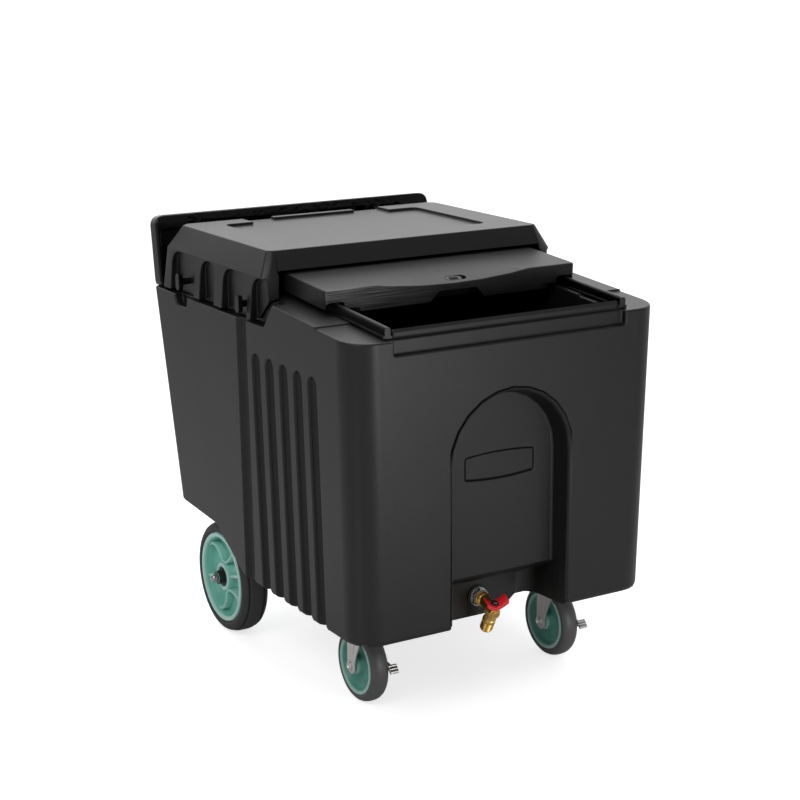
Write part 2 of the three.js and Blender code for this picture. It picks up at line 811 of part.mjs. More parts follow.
function frontLip() {
  const from = rimLipSetback;
  return moved(
    bar(rectangle(from, from + rimLipThickness, -rebateHeight, rimLipHeight, rimLipRounding, softSteps), X,
      -railCentreX + railFootWidth / 2 + seat, railCentreX - railFootWidth / 2 - seat),
    deckFrame,
  );
}

function frontRebate() {
  return block(-rebateHalfWidth, rebateHalfWidth, tubFrontY - overrun, tubFrontY + rebateDepth,
    deckFrontZ - rebateHeight, deckFrontZ + overrun);
}

const binFrontY = tubFrontY + rimLipSetback + rimLipThickness;
const wellFrontY = frontAt(drainZ) + drainWallDepth + wellWall;

// The well behind the casters, which the shelf stands in, and the channel from it to the drain.
function wellFloor(plan) {
  const slope = (wellRearZ - wellFrontZ) / (wellRearY - wellFrontY);
  return plan.map((p) => new THREE.Vector3(p.x, p.y, wellFrontZ + (p.y - wellFrontY) * slope));
}

function bin() {
  const high = deckAt(tubRearY) + overrun;
  const mouth = rectangle(-binHalfWidth, binHalfWidth, binFrontY, binRearY, binCornerRadius);
  const foot = rectangle(-binHalfWidthFoot, binHalfWidthFoot, wellFrontY, binRearY - binDraft,
    binCornerRadius);
  const upper = loft([
    level(foot, binFloorZ),
    level(mouth, recessArchZ + recessHalfWidth * 2),
    level(mouth, high),
  ]);
  const top = binFloorZ + bury;
  const plan = rectangle(-wellHalfWidth, wellHalfWidth, wellFrontY, wellRearY, wellCornerRadius);
  const shelfSeat = bar(plan, Z, shelfZ - seat, top);
  const deep = rectangle(-wellHalfWidth, wellHalfWidth, keelFrontY + wellWall, wellRearY, wellCornerRadius);
  const channelRear = wellRearY - wellCornerRadius;
  const channel = rectangle(-channelHalfWidth, channelHalfWidth, wellFrontY, channelRear, wellCornerRadius);
  const wells = [deep, channel].map((outline) => loft([wellFloor(outline), level(outline, top)]));
  return join(upper, shelfSeat, ...wells);
}

const drainWallY = frontAt(drainZ) + drainWallDepth;
const drainOrigin = [0, drainWallY, drainZ];
const forward = new THREE.Vector3(0, -1, 0);

const knobPlaces = Object.entries(knobYs).flatMap(([end, y]) =>
  Object.entries(sides).map(([name, side]) => ({ name: "hood_knob_" + end + "_" + name, side, y })));

const handleScrewY = (-handleDepth - handleWall) / 2;

function handleScrewHole(side) {
  return moved(rod(handleScrewRadius + studClearance, -handleScrewLength, overrun,
    [side * handleScrewX, handleScrewY, 0], Z, holeSteps), rearFrame);
}

function tubBody() {
  const wells = Object.values(sides).map(casterPad);
  let made = cut(tubShell(), wheelArch(), ...wells);
  made = join(made, keel(), sump());
  made = cut(made, frontRecess(), drainRecess(), labelField(), aboveDeck(), aboveLedge(), frontRebate());
  made = join(made, frontLip());
  made = cut(made, bin());
  for (const side of Object.values(sides)) {
    for (let k = 0; k < fluteCount; k++) made = made.subtract(flute(side, fluteFirstY - k * flutePitch));
    made = cut(made, groove(side), thumbScallop(side));
    made = made.subtract(handleScrewHole(side));
    for (const bolt of plateBolts(side)) {
      const place = [bolt.x, bolt.y, padZ];
      made = made.subtract(rod(plateBoltRadius + studClearance, -overrun, plateBoltLength, place, Z,
        holeSteps));
    }
  }
  for (const { side, y } of knobPlaces) {
    const hole = rod(studRadius + studClearance, -studReach - studClearance, overrun,
      [side * neckHalfWidth, y, knobZ], new THREE.Vector3(side, 0, 0), holeSteps);
    made = made.subtract(hole);
  }
  return made.subtract(rod(drainBoreRadius, -wellWall - overrun, overrun, drainOrigin, forward,
    smallSteps));
}

// A level section of the hood, with ridged front corners and plain chamfers behind.
function hoodSection(z, halfWidth, front, rear, { across, back, ridge }) {
  const middle = new THREE.Vector2(halfWidth - across / 2, front + back / 2);
  const half = [
    new THREE.Vector2(halfWidth - across, front),
    middle.add(new THREE.Vector2(back, -across).setLength(ridge)),
    new THREE.Vector2(halfWidth, front + back),
    new THREE.Vector2(halfWidth, rear - hoodRearCorner),
    new THREE.Vector2(halfWidth - hoodRearCorner, rear),
  ];
  const mirrored = half.map((p) => new THREE.Vector2(-p.x, p.y)).reverse();
  return level([...half, ...mirrored], z);
}

function hoodForm(inset, footZ) {
  return loft([
    hoodSection(footZ, hoodFootHalfWidth - inset, hoodFootFrontY + inset, hoodFootRearY - inset,
      hoodCorner),
    hoodSection(hoodShoulderZ, hoodShoulderHalfWidth - inset, hoodShoulderFrontY + inset,
      hoodShoulderRearY - inset,
      hoodCorner),
    hoodSection(hoodTopZ - inset, hoodTopHalfWidth - inset, hoodTopFrontY + inset, hoodTopRearY - inset,
      hoodTopCorner),
  ]);
}

// One arched bay pressed into a side of the hood, grown by the wall for its inner face.
function bay(side, centre, width, grow) {
  const half = width / 2 + grow;
  const top = bayTopZ + grow;
  const radius = Math.min(half * (1 - 1 / roundSteps), bayRadius + grow);
  const outline = rounded([
    [centre - half, hoodFootZ - overrun],
    [centre + half, hoodFootZ - overrun],
    [centre + half, top, radius],
    [centre - half, top, radius],
  ]);
  return sideBar(outline, side, bayFaceX - grow, hoodFootHalfWidth + overrun);
}

// The shallow panel sunk in the hood's top, with two channels that let water off its rear edge.
function topPanel(grow) {
  const floor = hoodTopZ - panelDepth - grow;
  const high = hoodTopZ + overrun;
  const half = panelHalfWidth + grow;
  const middle = panelMiddleHalfWidth + grow;
  const channel = panelChannelHalfWidth + grow;
  const rear = panelRearY - overrun;
  const field = rectangle(-half, half, panelFrontY - grow, panelRearY + grow, panelCornerRadius + grow);
  return join(
    bar(field, Z, floor, high),
    block(-middle, middle, rear, panelMiddleRearY + grow, floor, high),
    block(panelMiddleHalfWidth - grow - bury, channel, rear, hoodTopRearY + overrun * 2, floor, high),
    block(-channel, grow + bury - panelMiddleHalfWidth, rear, hoodTopRearY + overrun * 2, floor, high),
  );
}

function hoodCover() {
  const bays = (grow) =>
    Object.values(sides).flatMap((side) =>
      Object.keys(baySetbacks).map((name) => bay(side, hoodFootRearY - baySetbacks[name], bayWidths[name],
        grow)));
  const inner = cut(hoodForm(hoodWall, hoodFootZ - overrun), ...bays(hoodWall), topPanel(hoodWall));
  let made = cut(hoodForm(0, hoodFootZ), inner, ...bays(0), topPanel(0));
  const wide = hoodFootHalfWidth + overrun;
  const mouth = block(-hoodMouthHalfWidth, hoodMouthHalfWidth, hoodFootFrontY - overrun,
    hoodFootFrontY + hoodCorner.back * 2, hoodFootZ - overrun, hoodMouthZ);
  const cheekSlope = hoodCheekRise / hoodCheekReach;
  const cheek = bar([
    new THREE.Vector2(hoodFootFrontY - overrun, hoodFootZ - overrun),
    new THREE.Vector2(hoodFootFrontY + hoodCheekReach + overrun / cheekSlope, hoodFootZ - overrun),
    new THREE.Vector2(hoodFootFrontY - overrun, hoodFootZ + hoodCheekRise + overrun * cheekSlope),
  ], X, -wide, wide);
  made = cut(made, mouth, cheek);
  for (const { side, y } of knobPlaces) {
    const hole = rod(studRadius + studClearance, -overrun, overrun, [side * hoodOuterX(knobZ), y, knobZ],
      X, holeSteps);
    made = made.subtract(hole);
  }
  return made;
}

function hoodKnob(side, y) {
  const out = new THREE.Vector3(side, 0, 0);
  const start = bayFaceX + seat;
  const grip = start + knobNeckLength;
  const outline = rectangle(y - knobWidth / 2, y + knobWidth / 2, knobZ - knobHeight / 2,
    knobZ + knobHeight / 2,
    knobCorner);
  const wing = sideBar(outline, side, grip, grip + knobThickness);
  const neck = rod(knobNeckRadius, start, grip + bury, [0, y, knobZ], out, smallSteps);
  const stud = rod(studRadius, neckHalfWidth - studReach, grip + bury, [0, y, knobZ], out, holeSteps);
  return join(wing, neck, stud);
}

// Rails and lid are made in the deck's frame.
function slideRail(side) {
  const from = rimLipSetback;
  const half = railWidth / 2;
  const foot = railFootWidth / 2;
  const low = -deckStepDrop + seat;
  const head = rounded([
    [side * railCentreX - half, seat],
    [side * railCentreX + half, seat],
    [side * railCentreX + half, railHeight, railCrown],
    [side * railCentreX - half, railHeight, railCrown],
  ]);
  const base = rectangle(side * railCentreX - foot, side * railCentreX + foot, seat, railFootHeight);
  const front = rectangle(side * railCentreX - foot, side * railCentreX + foot, low, railFootHeight);
  return join(
    bar(head, Y, from, railLength),
    bar(base, Y, deckStepLength, railLength),
    bar(front, Y, from, deckStepLength - seat),
  );
}

const lidBottom = lidRideHeight;
const lidTop = lidRideHeight + lidSkirt;

// The lid in a frame of its own: y from its front edge, z as in the deck's frame.
function slidingLid() {
  const plan = rectangle(-lidHalfWidth, lidHalfWidth, 0, lidLength, lidCornerRadius);
  const inner = rectangle(-lidHalfWidth + lidEdge, lidHalfWidth - lidEdge, lidEdge, lidLength - lidEdge,
    lidCornerRadius - lidEdge);
  const slab = loft([level(plan, lidBottom), level(plan, lidTop - lidEdge), level(inner, lidTop)]);
  const low = lidBottom - lidPlugDrop;
  const plug = bar(rectangle(-lidPlugHalfWidth, lidPlugHalfWidth, 0, lidLength - lidEdge,
    binCornerRadius), Z, low,
    lidBottom + bury);
  const grooves = Object.values(sides).map((side) =>
    bar(rounded([
      [side * railCentreX - lidGrooveHalfWidth, lidBottom - overrun],
      [side * railCentreX + lidGrooveHalfWidth, lidBottom - overrun],
      [side * railCentreX + lidGrooveHalfWidth, railHeight + seat, lidGrooveRadius],
      [side * railCentreX - lidGrooveHalfWidth, railHeight + seat, lidGrooveRadius],
    ]), Y, -overrun, lidLength + overrun));
  const pocket = bar([
    new THREE.Vector2(pocketX - pocketHalfWidth, low - overrun),
    new THREE.Vector2(pocketX + pocketHalfWidth, low - overrun),
    new THREE.Vector2(pocketX + pocketHalfWidth, low),
    new THREE.Vector2(pocketX + pocketTopHalfWidth, low + pocketHeight),
    new THREE.Vector2(pocketX - pocketTopHalfWidth, low + pocketHeight),
    new THREE.Vector2(pocketX - pocketHalfWidth, low),
  ], Y, -overrun, pocketDepth);
  return cut(join(slab, plug), ...grooves, pocket, thumbScoop(), latchSlot());
}

const scoopAngle = Math.atan(scoopDepth / scoopLength);
const scoopFrame = new THREE.Matrix4().makeRotationX(scoopAngle).setPosition(0, 0, lidTop - scoopDepth);

// A wide shallow cone in the lid's top that opens at its front edge.
function thumbScoop() {
  const radius = (scoopHalfWidth ** 2 + scoopDepth ** 2) / (2 * scoopDepth);
  const angle = Math.asin(scoopHalfWidth / radius) * 1.5;
  const points = [];
  const steps = holeSteps;
  for (let k = 0; k <= steps; k++) {
    const at = -Math.PI / 2 - angle + (2 * angle * k) / steps;
    points.push(new THREE.Vector2(radius * Math.cos(at), radius * (1 + Math.sin(at))));
  }
  return moved(bar(points, Y, -overrun, scoopLength * 2), scoopFrame);
}

function latchSlot() {
  const from = latchX - latchHalfLength - seat;
  const to = latchX + latchHalfLength + latchTravel + seat;
  const reach = latchHalfWidth + seat;
  const outline = rectangle(from, to, latchSetback - reach, latchSetback + reach, latchHalfWidth);
  return moved(bar(outline, Z, -latchDepth, overrun), scoopFrame);
}

// The ribbed thumb slide in the lid's scoop, made in the scoop's frame.
function lidLatch() {
  const outline = rectangle(latchX - latchHalfLength, latchX + latchHalfLength,
    latchSetback - latchHalfWidth,
    latchSetback + latchHalfWidth, latchHalfWidth - seat);
  const body = bar(outline, Z, seat - latchDepth, 0);
  const ridges = [];
  for (let k = 0; k < latchRidgeCount; k++) {
    const x = latchX + (k - (latchRidgeCount - 1) / 2) * latchRidgePitch;
    const half = latchRidgePitch / 4;
    ridges.push(block(x - half, x + half, latchSetback - latchHalfWidth / 2,
      latchSetback + latchHalfWidth / 2, -bury,
      latchProud));
  }
  return join(body, ...ridges);
}

// Push handle, in the frame of the rear face: y runs back from the face, z up it.
function pushHandle() {
  const high = (handleTopZ - ledgeZ) / Math.cos(rearLeanAngle);
  const low = -handleDepth * Math.tan(rearLeanAngle);
  const outline = rounded([
    [-handleHalfWidth, low, handleFootRadius],
    [handleHalfWidth, low, handleFootRadius],
    [handleHalfWidth, high, handleCornerRadius],
    [-handleHalfWidth, high, handleCornerRadius],
  ]);
  const front = -handleDepth;
  const body = bar(outline, Y, front, 0);
  const barFoot = high - handleBarHeight;
  const tray = rectangle(-handleHalfWidth + handleRim, handleHalfWidth - handleRim, handleRim, barFoot,
    handleRim);
  let made = body.subtract(bar(tray, Y, front - overrun, -handleWall));
  for (const side of Object.values(sides)) {
    const from = Math.min(side * gripInnerX, side * gripOuterX);
    const to = Math.max(side * gripInnerX, side * gripOuterX);
    const opening = rectangle(from, to, barFoot - gripHeight, barFoot, handleRim);
    made = made.subtract(bar(opening, Y, front - overrun, overrun));
    const pitch = (gripOuterX - gripInnerX) / fingerCount;
    for (let k = 0; k < fingerCount; k++) {
      const x = side * (gripInnerX + (k + 1 / 2) * pitch);
      made = made.subtract(turned(
        [[0, front - overrun], [fingerRadius, front - overrun], [fingerRadius, front + fingerDepth / 2],
          [fingerRadius / 2, front + fingerDepth], [0, front + fingerDepth]],
        [x, 0, barFoot], Y, holeSteps));
    }
  }
  const below = block(-tubHalfWidthTop, tubHalfWidthTop, tubRearY - handleDepth * 2, tubRearY + overrun,
    ledgeZ - overrun * 2, ledgeZ + seat);
  return cut(moved(made, rearFrame), below, handleScrewHole(-1), handleScrewHole(1));
}

// Made in the frame of the rear face, its head on the handle's foot.
function handleScrew(side) {
  const origin = [side * handleScrewX, handleScrewY, handleRim + seat];
  const shank = rod(handleScrewRadius, seat - handleScrewLength - origin[2], bury, origin, Z, holeSteps);
  return join(shank, hexagon(handleScrewHeadAcross, 0, handleScrewHeadHeight, origin, Z));
}

// Wheels are made about their own axle along X, from its outer face inwards or from its middle.
function tyre(radius, rimRadius, width) {
  const half = width / 2;
  const profile = [
    [rimRadius, -half],
    [radius - tyreShoulder, -half],
    [radius - tyreShoulder / 4, -half + tyreShoulder * 0.7],
    [radius, 0],
    [radius - tyreShoulder / 4, half - tyreShoulder * 0.7],
    [radius - tyreShoulder, half],
    [rimRadius, half],
    [rimRadius, -half],
  ];
  return turned(profile, atOrigin, X, roundSteps);
}

// A hub with a rim ring, a thin web and a bored boss.
function wheelHub({ rim, rimWall, web, boss, bore, width, bossWidth }) {
  const half = width / 2;
  const outer = rim - seat;
  const foot = rimWall * 0.6;
  const profile = [
    [bore, -bossWidth / 2],
    [boss, -bossWidth / 2],
    [boss + foot / 2, -web / 2],
    [outer - rimWall - foot, -web / 2],
    [outer - rimWall, -half + seat],
    [outer, -half + seat],
    [outer, half - seat],
    [outer - rimWall, half - seat],
    [outer - rimWall - foot, web / 2],
    [boss + foot / 2, web / 2],
    [boss, bossWidth / 2],
    [bore, bossWidth / 2],
    [bore, -bossWidth / 2],
  ];
  return turned(profile, atOrigin, X, roundSteps);
}

// Straight and gull-wing ribs on the outer side of the left hub.
function rearHubRibs() {
  const inner = rearWebThickness / 2 - bury;
  const outer = rearWheelWidth / 2 - ribSetback;
  const reach = rearRimRadius - rearRimThickness + bury;
  const spot = (share, degrees) => {
    const angle = THREE.MathUtils.degToRad(degrees);
    return new THREE.Vector2(-reach * share * Math.cos(angle), reach * share * Math.sin(angle));
  };
  const strip = (points) => {
    const left = [];
    const right = [];
    points.forEach((p, i) => {
      const along = (points[i + 1] ?? p).clone().sub(points[i - 1] ?? p).normalize();
      const across = new THREE.Vector2(-along.y, along.x).multiplyScalar(ribThickness / 2);
      left.push(p.clone().add(across));
      right.unshift(p.clone().sub(across));
    });
    return bar([...left, ...right], X, -outer, -inner);
  };
  const wing = (mirror) => {
    const points = ribWingShares.map(([share, degrees]) => spot(share, ribAxisAngle + mirror * degrees));
    return strip(new THREE.SplineCurve(points).getPoints(smallSteps - 2));
  };
  const boss = (rearHubRadius - bury) / reach;
  const straight = (turn) => strip([spot(boss, ribAxisAngle + turn), spot(1, ribAxisAngle + turn)]);
  return [wing(1), wing(-1), straight(0), straight(180)];
}

function rearHub(side) {
  const made = wheelHub({
    rim: rearRimRadius,
    rimWall: rearRimThickness,
    web: rearWebThickness,
    boss: rearHubRadius,
    bore: axleRadius + seat,
    width: rearWheelWidth,
    bossWidth: rearWheelWidth - ribSetback,
  });
  const whole = join(made, ...rearHubRibs());
  return side < 0 ? whole : moved(whole, new THREE.Matrix4().makeRotationZ(Math.PI));
}

const rearWheelX = rearWheelOuterX - rearWheelWidth / 2;
const washerX = rearWheelOuterX - ribSetback / 2 + seat;

function acornNut(side) {
  const start = washerX + washerThickness + seat;
  const out = new THREE.Vector3(side, 0, 0);
  const base = hexagon(nutAcross, start, start + nutHeight, atOrigin, out);
  const crown = start + nutHeight;
  const dome = turned([[0, crown - bury], [nutDomeRadius, crown - bury], [nutDomeRadius, crown],
    [nutDomeRadius * 0.8, crown + nutDomeHeight * 0.6], [nutDomeRadius * 0.4, crown + nutDomeHeight],
    [0, crown + nutDomeHeight]], atOrigin, out, smallSteps);
  const bore = rod(axleRadius + seat, 0, axleHalfLength + seat, atOrigin, out, smallSteps);
  return cut(join(base, dome), bore);
}

// A hanger that carries the axle under the keel, about the axle's own line.
function axleBracket() {
  const top = keelBottomZ - axleZ - seat;
  const plateFoot = top - bracketPlateThickness;
  const half = bracketThickness / 2;
  const plate = block(-bracketPlateWidth / 2, bracketPlateWidth / 2, -bracketPlateLength / 2,
    bracketPlateLength / 2,
    plateFoot, top);
  const outline = [];
  const steps = smallSteps;
  for (let k = 0; k <= steps; k++) {
    const angle = Math.PI + (k / steps) * Math.PI;
    outline.push(new THREE.Vector2(bracketEyeRadius * Math.cos(angle), bracketEyeRadius * Math.sin(angle)));
  }
  outline.push(new THREE.Vector2(bracketEyeRadius * 1.5, plateFoot + bury),
    new THREE.Vector2(-bracketEyeRadius * 1.5,
    plateFoot + bury));
  const web = bar(outline, X, -half, half);
  const eye = rod(bracketEyeRadius, -half * 3, half * 3, atOrigin, X, steps);
  const made = join(plate, web, eye.intersect(block(-half * 3, half * 3, -bracketEyeRadius,
    bracketEyeRadius,
    -bracketEyeRadius, plateFoot + bury)));
  return made.subtract(rod(axleRadius + seat, -bracketPlateWidth, bracketPlateWidth, atOrigin, X, steps));
}

// Casters, about the swivel axis at the height of the ground.
function plateBolts(side) {
  const places = [];
  for (const [end, fore] of Object.entries({ front: -1, rear: 1 }))
    for (const [edge, across] of Object.entries({ inner: -1, outer: 1 }))
      places.push({
        name: end + "_" + edge,
        x: side * (casterX + across * plateBoltX),
        y: casterSwivelY + fore * plateBoltY,
      });
  return places;
}

const plateTopZ = padZ - seat;
const plateFootZ = plateTopZ - plateThickness;
const crownTopZ = plateFootZ - raceHeight - seat;
const crownFootZ = crownTopZ - crownHeight;
const legOuter = legHalfSpan + legThickness;

function casterPlate() {
  const plan = rectangle(-plateWidth / 2, plateWidth / 2, -plateLength / 2, plateLength / 2,
    plateCornerRadius);
  const race = turned([[0, plateFootZ - raceHeight], [raceFootRadius, plateFootZ - raceHeight],
    [raceRadius, plateFootZ - raceHeight / 2], [raceRadius, plateFootZ + bury], [0, plateFootZ + bury]],
  atOrigin, Z);
  const pinHead = crownTopZ - crownWall - seat;
  const pin = rod(kingpinRadius, pinHead - bury, plateFootZ, atOrigin, Z, smallSteps);
  const head = rod(kingpinHeadRadius, pinHead - kingpinHeadHeight, pinHead, atOrigin, Z, smallSteps);
  let made = join(bar(plan, Z, plateFootZ, plateTopZ), race, pin, head);
  for (const bolt of plateBolts(1)) {
    const hole = rod(plateBoltRadius + seat, -overrun, overrun, [bolt.x - casterX, bolt.y - casterSwivelY,
      plateFootZ], Z,
      cornerSteps * 2);
    made = made.subtract(hole);
  }
  return made;
}

function plateBolt() {
  const head = hexagon(plateBoltHeadRadius * 2, plateFootZ - seat - plateBoltHeadHeight,
    plateFootZ - seat, atOrigin, Z);
  const end = padZ + plateBoltLength - seat;
  return join(head, rod(plateBoltRadius, plateFootZ - bury, end, atOrigin, Z, holeSteps));
}

function casterFork() {
  const crown = cut(
    rod(crownRadius, crownFootZ, crownTopZ, atOrigin, Z),
    rod(crownRadius - crownWall, crownFootZ - overrun, crownTopZ - crownWall, atOrigin, Z),
    rod(kingpinRadius + seat, crownFootZ - overrun, crownTopZ + overrun, atOrigin, Z, smallSteps),
  );
  const outline = [];
  const steps = smallSteps;
  for (let k = 0; k <= steps; k++) {
    const angle = Math.PI + (k / steps) * Math.PI;
    outline.push(new THREE.Vector2(casterTrail + legEyeRadius * Math.cos(angle),
      casterRadius + legEyeRadius * Math.sin(angle)));
  }
  outline.push(new THREE.Vector2(legTopHalfWidth, crownTopZ - crownWall));
  outline.push(new THREE.Vector2(-legTopHalfWidth, crownTopZ - crownWall));
  const legs = Object.values(sides).map((side) => sideBar(outline, side, legHalfSpan, legOuter));
  return cut(join(crown, ...legs), rod(casterBoltRadius + seat, -overrun * 2, overrun * 2,
    [0, casterTrail, casterRadius], X, smallSteps));
}

function casterHub() {
  return wheelHub({
    rim: casterRimRadius,
    rimWall: casterRimThickness,
    web: casterWebThickness,
    boss: casterHubRadius,
    bore: casterBoltRadius + seat,
    width: casterWidth,
    bossWidth: legHalfSpan * 2 - seat * 2,
  });
}

const brakeStart = legOuter + seat;
const brakeEnd = brakeStart + brakeThickness;

// The caster's axle, its head on the left leg.
function casterBolt() {
  const head = hexagon(casterBoltHeadAcross, legOuter + seat, legOuter + seat + casterBoltHeadHeight,
    atOrigin,
    X.clone().negate());
  const end = brakeEnd + seat + casterNutHeight + bury;
  return join(head, rod(casterBoltRadius, -legOuter - seat - bury, end, atOrigin, X, smallSteps));
}

function casterNut() {
  const start = brakeEnd + seat;
  return cut(hexagon(casterBoltHeadAcross, start, start + casterNutHeight, atOrigin, X),
    rod(casterBoltRadius + seat, -overrun, overrun * 3, atOrigin, X, smallSteps));
}

// The brake lever on the right leg: an arm from the axle forward with a turned-out foot tab.
function brakeLever() {
  const half = brakeArmWidth / 2;
  const eye = rod(brakeEyeRadius, brakeStart, brakeEnd, atOrigin, X, smallSteps);
  const arm = bar([
    new THREE.Vector2(-brakeReach, -half * 0.7),
    new THREE.Vector2(0, -half * 1.4),
    new THREE.Vector2(0, half * 1.4),
    new THREE.Vector2(-brakeReach, half * 0.7),
  ], X, brakeStart, brakeEnd);
  const tab = block(0, brakeTabWidth, -brakeTabLength / 2, brakeTabLength / 2, -brakeThickness / 2,
    brakeThickness / 2);
  const tilt = new THREE.Matrix4().makeRotationX(THREE.MathUtils.degToRad(-brakeTabTilt));
  tilt.setPosition(brakeStart, -brakeReach + brakeTabLength / 3, 0);
  return cut(join(eye, arm, moved(tab, tilt)),
    rod(casterBoltRadius + seat, -overrun, overrun * 3, atOrigin, X, smallSteps));
}

// Drain valve. The valve's own frame starts at its elbow: z is its flow, pointing forward and down.
const nutStart = gasketThickness + drainWasherThickness + seat * 3;
const inletStart = nutStart + drainNutHeight + seat;
const elbowReach = inletStart + valveInletLength;
const elbow = new THREE.Vector3(0, drainWallY - elbowReach, drainZ);
const tiltAngle = THREE.MathUtils.degToRad(valveTilt);
const flow = new THREE.Vector3(0, -Math.cos(tiltAngle), -Math.sin(tiltAngle));
const upStem = new THREE.Vector3(0, -Math.sin(tiltAngle), Math.cos(tiltAngle));
const stemFoot = elbow.clone().addScaledVector(flow, valveToStem);

function drainTube() {
  const inner = wellWall + seat;
  const far = inletStart + valveInletLength / 2;
  return turned([
    [drainTubeBore, -inner - drainFlangeThickness],
    [drainFlangeRadius, -inner - drainFlangeThickness],
    [drainFlangeRadius, -inner],
    [drainTubeRadius, -inner],
    [drainTubeRadius, nutStart - seat],
    [drainTubeBore + drainSpigotWall, nutStart - seat],
    [drainTubeBore + drainSpigotWall, far],
    [drainTubeBore, far],
    [drainTubeBore, -inner - drainFlangeThickness],
  ], drainOrigin, forward, smallSteps);
}

function drainGasket() {
  return ring(drainBoreRadius, gasketRadius, seat, seat + gasketThickness, drainOrigin, forward,
    smallSteps);
}

function drainWasher() {
  const from = seat * 2 + gasketThickness;
  return ring(drainBoreRadius, drainWasherRadius, from, from + drainWasherThickness, drainOrigin, forward,
    smallSteps);
}

function drainNut() {
  const body = hexagon(drainNutAcross, nutStart, nutStart + drainNutHeight, drainOrigin, forward);
  const bore = rod(drainTubeBore + drainSpigotWall + seat, 0, overrun * 2, drainOrigin, forward,
    smallSteps);
  return body.subtract(bore);
}

function valveBody() {
  const steps = smallSteps;
  const collar = rod(valveInletRadius, inletStart, elbowReach, drainOrigin, forward, steps);
  const knee = solid(new THREE.SphereGeometry(valveBodyRadius, steps, steps / 2).translate(...elbow));
  const neck = rod(valveBodyRadius, 0, valveToStem, elbow.toArray(), flow, steps);
  const chestEnd = valveToStem + valveToCap - capHeight + capSunk;
  const chest = rod(valveBodyRadius + bury, valveToStem - valveBodyRadius * 1.1, chestEnd,
    elbow.toArray(), flow, steps);
  const origin = stemFoot.toArray();
  const down = upStem.clone().negate();
  const outlet = rod(valveOutletRadius, 0, valveOutletReach, origin, down, steps);
  const thread = rod(valveThreadRadius, valveOutletReach - valveThreadLength, valveOutletReach - bury,
    origin, down, steps);
  const bonnet = rod(bonnetRadius, 0, bonnetHeight, origin, upStem, steps);
  const whole = join(collar, knee, neck, chest, outlet, thread, bonnet);
  return cut(
    whole,
    rod(drainTubeBore + drainSpigotWall + seat, inletStart - overrun,
      inletStart + valveInletLength / 2 + seat,
      drainOrigin, forward, steps),
    rod(valveOutletBore, 0, elbowReach - bury, drainOrigin, forward, steps),
    rod(valveOutletBore, 0, valveToStem, elbow.toArray(), flow, steps),
    solid(new THREE.SphereGeometry(valveOutletBore, steps, steps / 2).translate(...elbow)),
    solid(new THREE.SphereGeometry(valveChamberRadius, steps, steps / 2).translate(...origin)),
    rod(valveOutletBore, 0, valveOutletReach + overrun, origin, down, steps),
    rod(stemRadius + seat, 0, bonnetHeight + overrun, origin, upStem, steps),
    rod(capAcross / Math.sqrt(3) + seat, chestEnd - capSunk - seat, chestEnd + overrun, elbow.toArray(),
      flow, roundSteps),
  );
}

// The ball's own frame has the stem along its z and the flow along its y.
const valveFrame = new THREE.Matrix4().makeBasis(X, upStem.clone().cross(X), upStem).setPosition(stemFoot);

function stemTang(grow) {
  const half = stemTangWidth / 2 + grow;
  const low = valveBallRadius - stemTangDepth;
  return block(-half, half, -stemRadius - grow, stemRadius + grow, low - grow, valveBallRadius + bury);
}

function valveBall() {
  const ball = solid(new THREE.SphereGeometry(valveBallRadius, smallSteps, smallSteps / 2));
  return cut(ball, rod(valveBallPort, -overrun, overrun, atOrigin, Y, holeSteps), stemTang(seat));
}

function valveStem() {
  const top = bonnetHeight + leverThickness + seat;
  return join(rod(stemRadius, valveBallRadius + seat, top, atOrigin, Z, smallSteps), stemTang(0));
}

function valveCap() {
  const from = valveToStem + valveToCap - capHeight;
  return hexagon(capAcross, from, from + capHeight, elbow.toArray(), flow);
}

// The butterfly handle: a strip whose wings rise at both ends, across the valve.
function valveLever() {
  const top = bonnetHeight + seat;
  const steps = holeSteps;
  const upper = [];
  const lower = [];
  for (let k = 0; k <= steps; k++) {
    const share = (2 * k) / steps - 1;
    const rise = top + leverRise * share * share;
    lower.push(new THREE.Vector2(share * leverHalfSpan, rise));
    upper.unshift(new THREE.Vector2(share * leverHalfSpan, rise + leverThickness));
  }
  const side = bar([...lower, ...upper], Y, -leverHalfWidth, leverHalfWidth);
  const plan = rounded([
    [-leverHalfSpan - bury, -leverHalfWidth, leverHalfWidth / 2],
    [0, -leverHubRadius],
    [leverHalfSpan + bury, -leverHalfWidth, leverHalfWidth / 2],
    [leverHalfSpan + bury, leverHalfWidth, leverHalfWidth / 2],
    [0, leverHubRadius],
    [-leverHalfSpan - bury, leverHalfWidth, leverHalfWidth / 2],
  ]);
  const shaped = side.intersect(bar(plan, Z, 0, overrun * 3));
  return shaped.subtract(rod(stemRadius + seat, 0, overrun * 3, atOrigin, Z, smallSteps));
}

function leverScrew() {
  const from = bonnetHeight + leverThickness + seat * 2;
  return hexagon(leverScrewAcross, from, from + leverScrewHeight, atOrigin, Z);
}

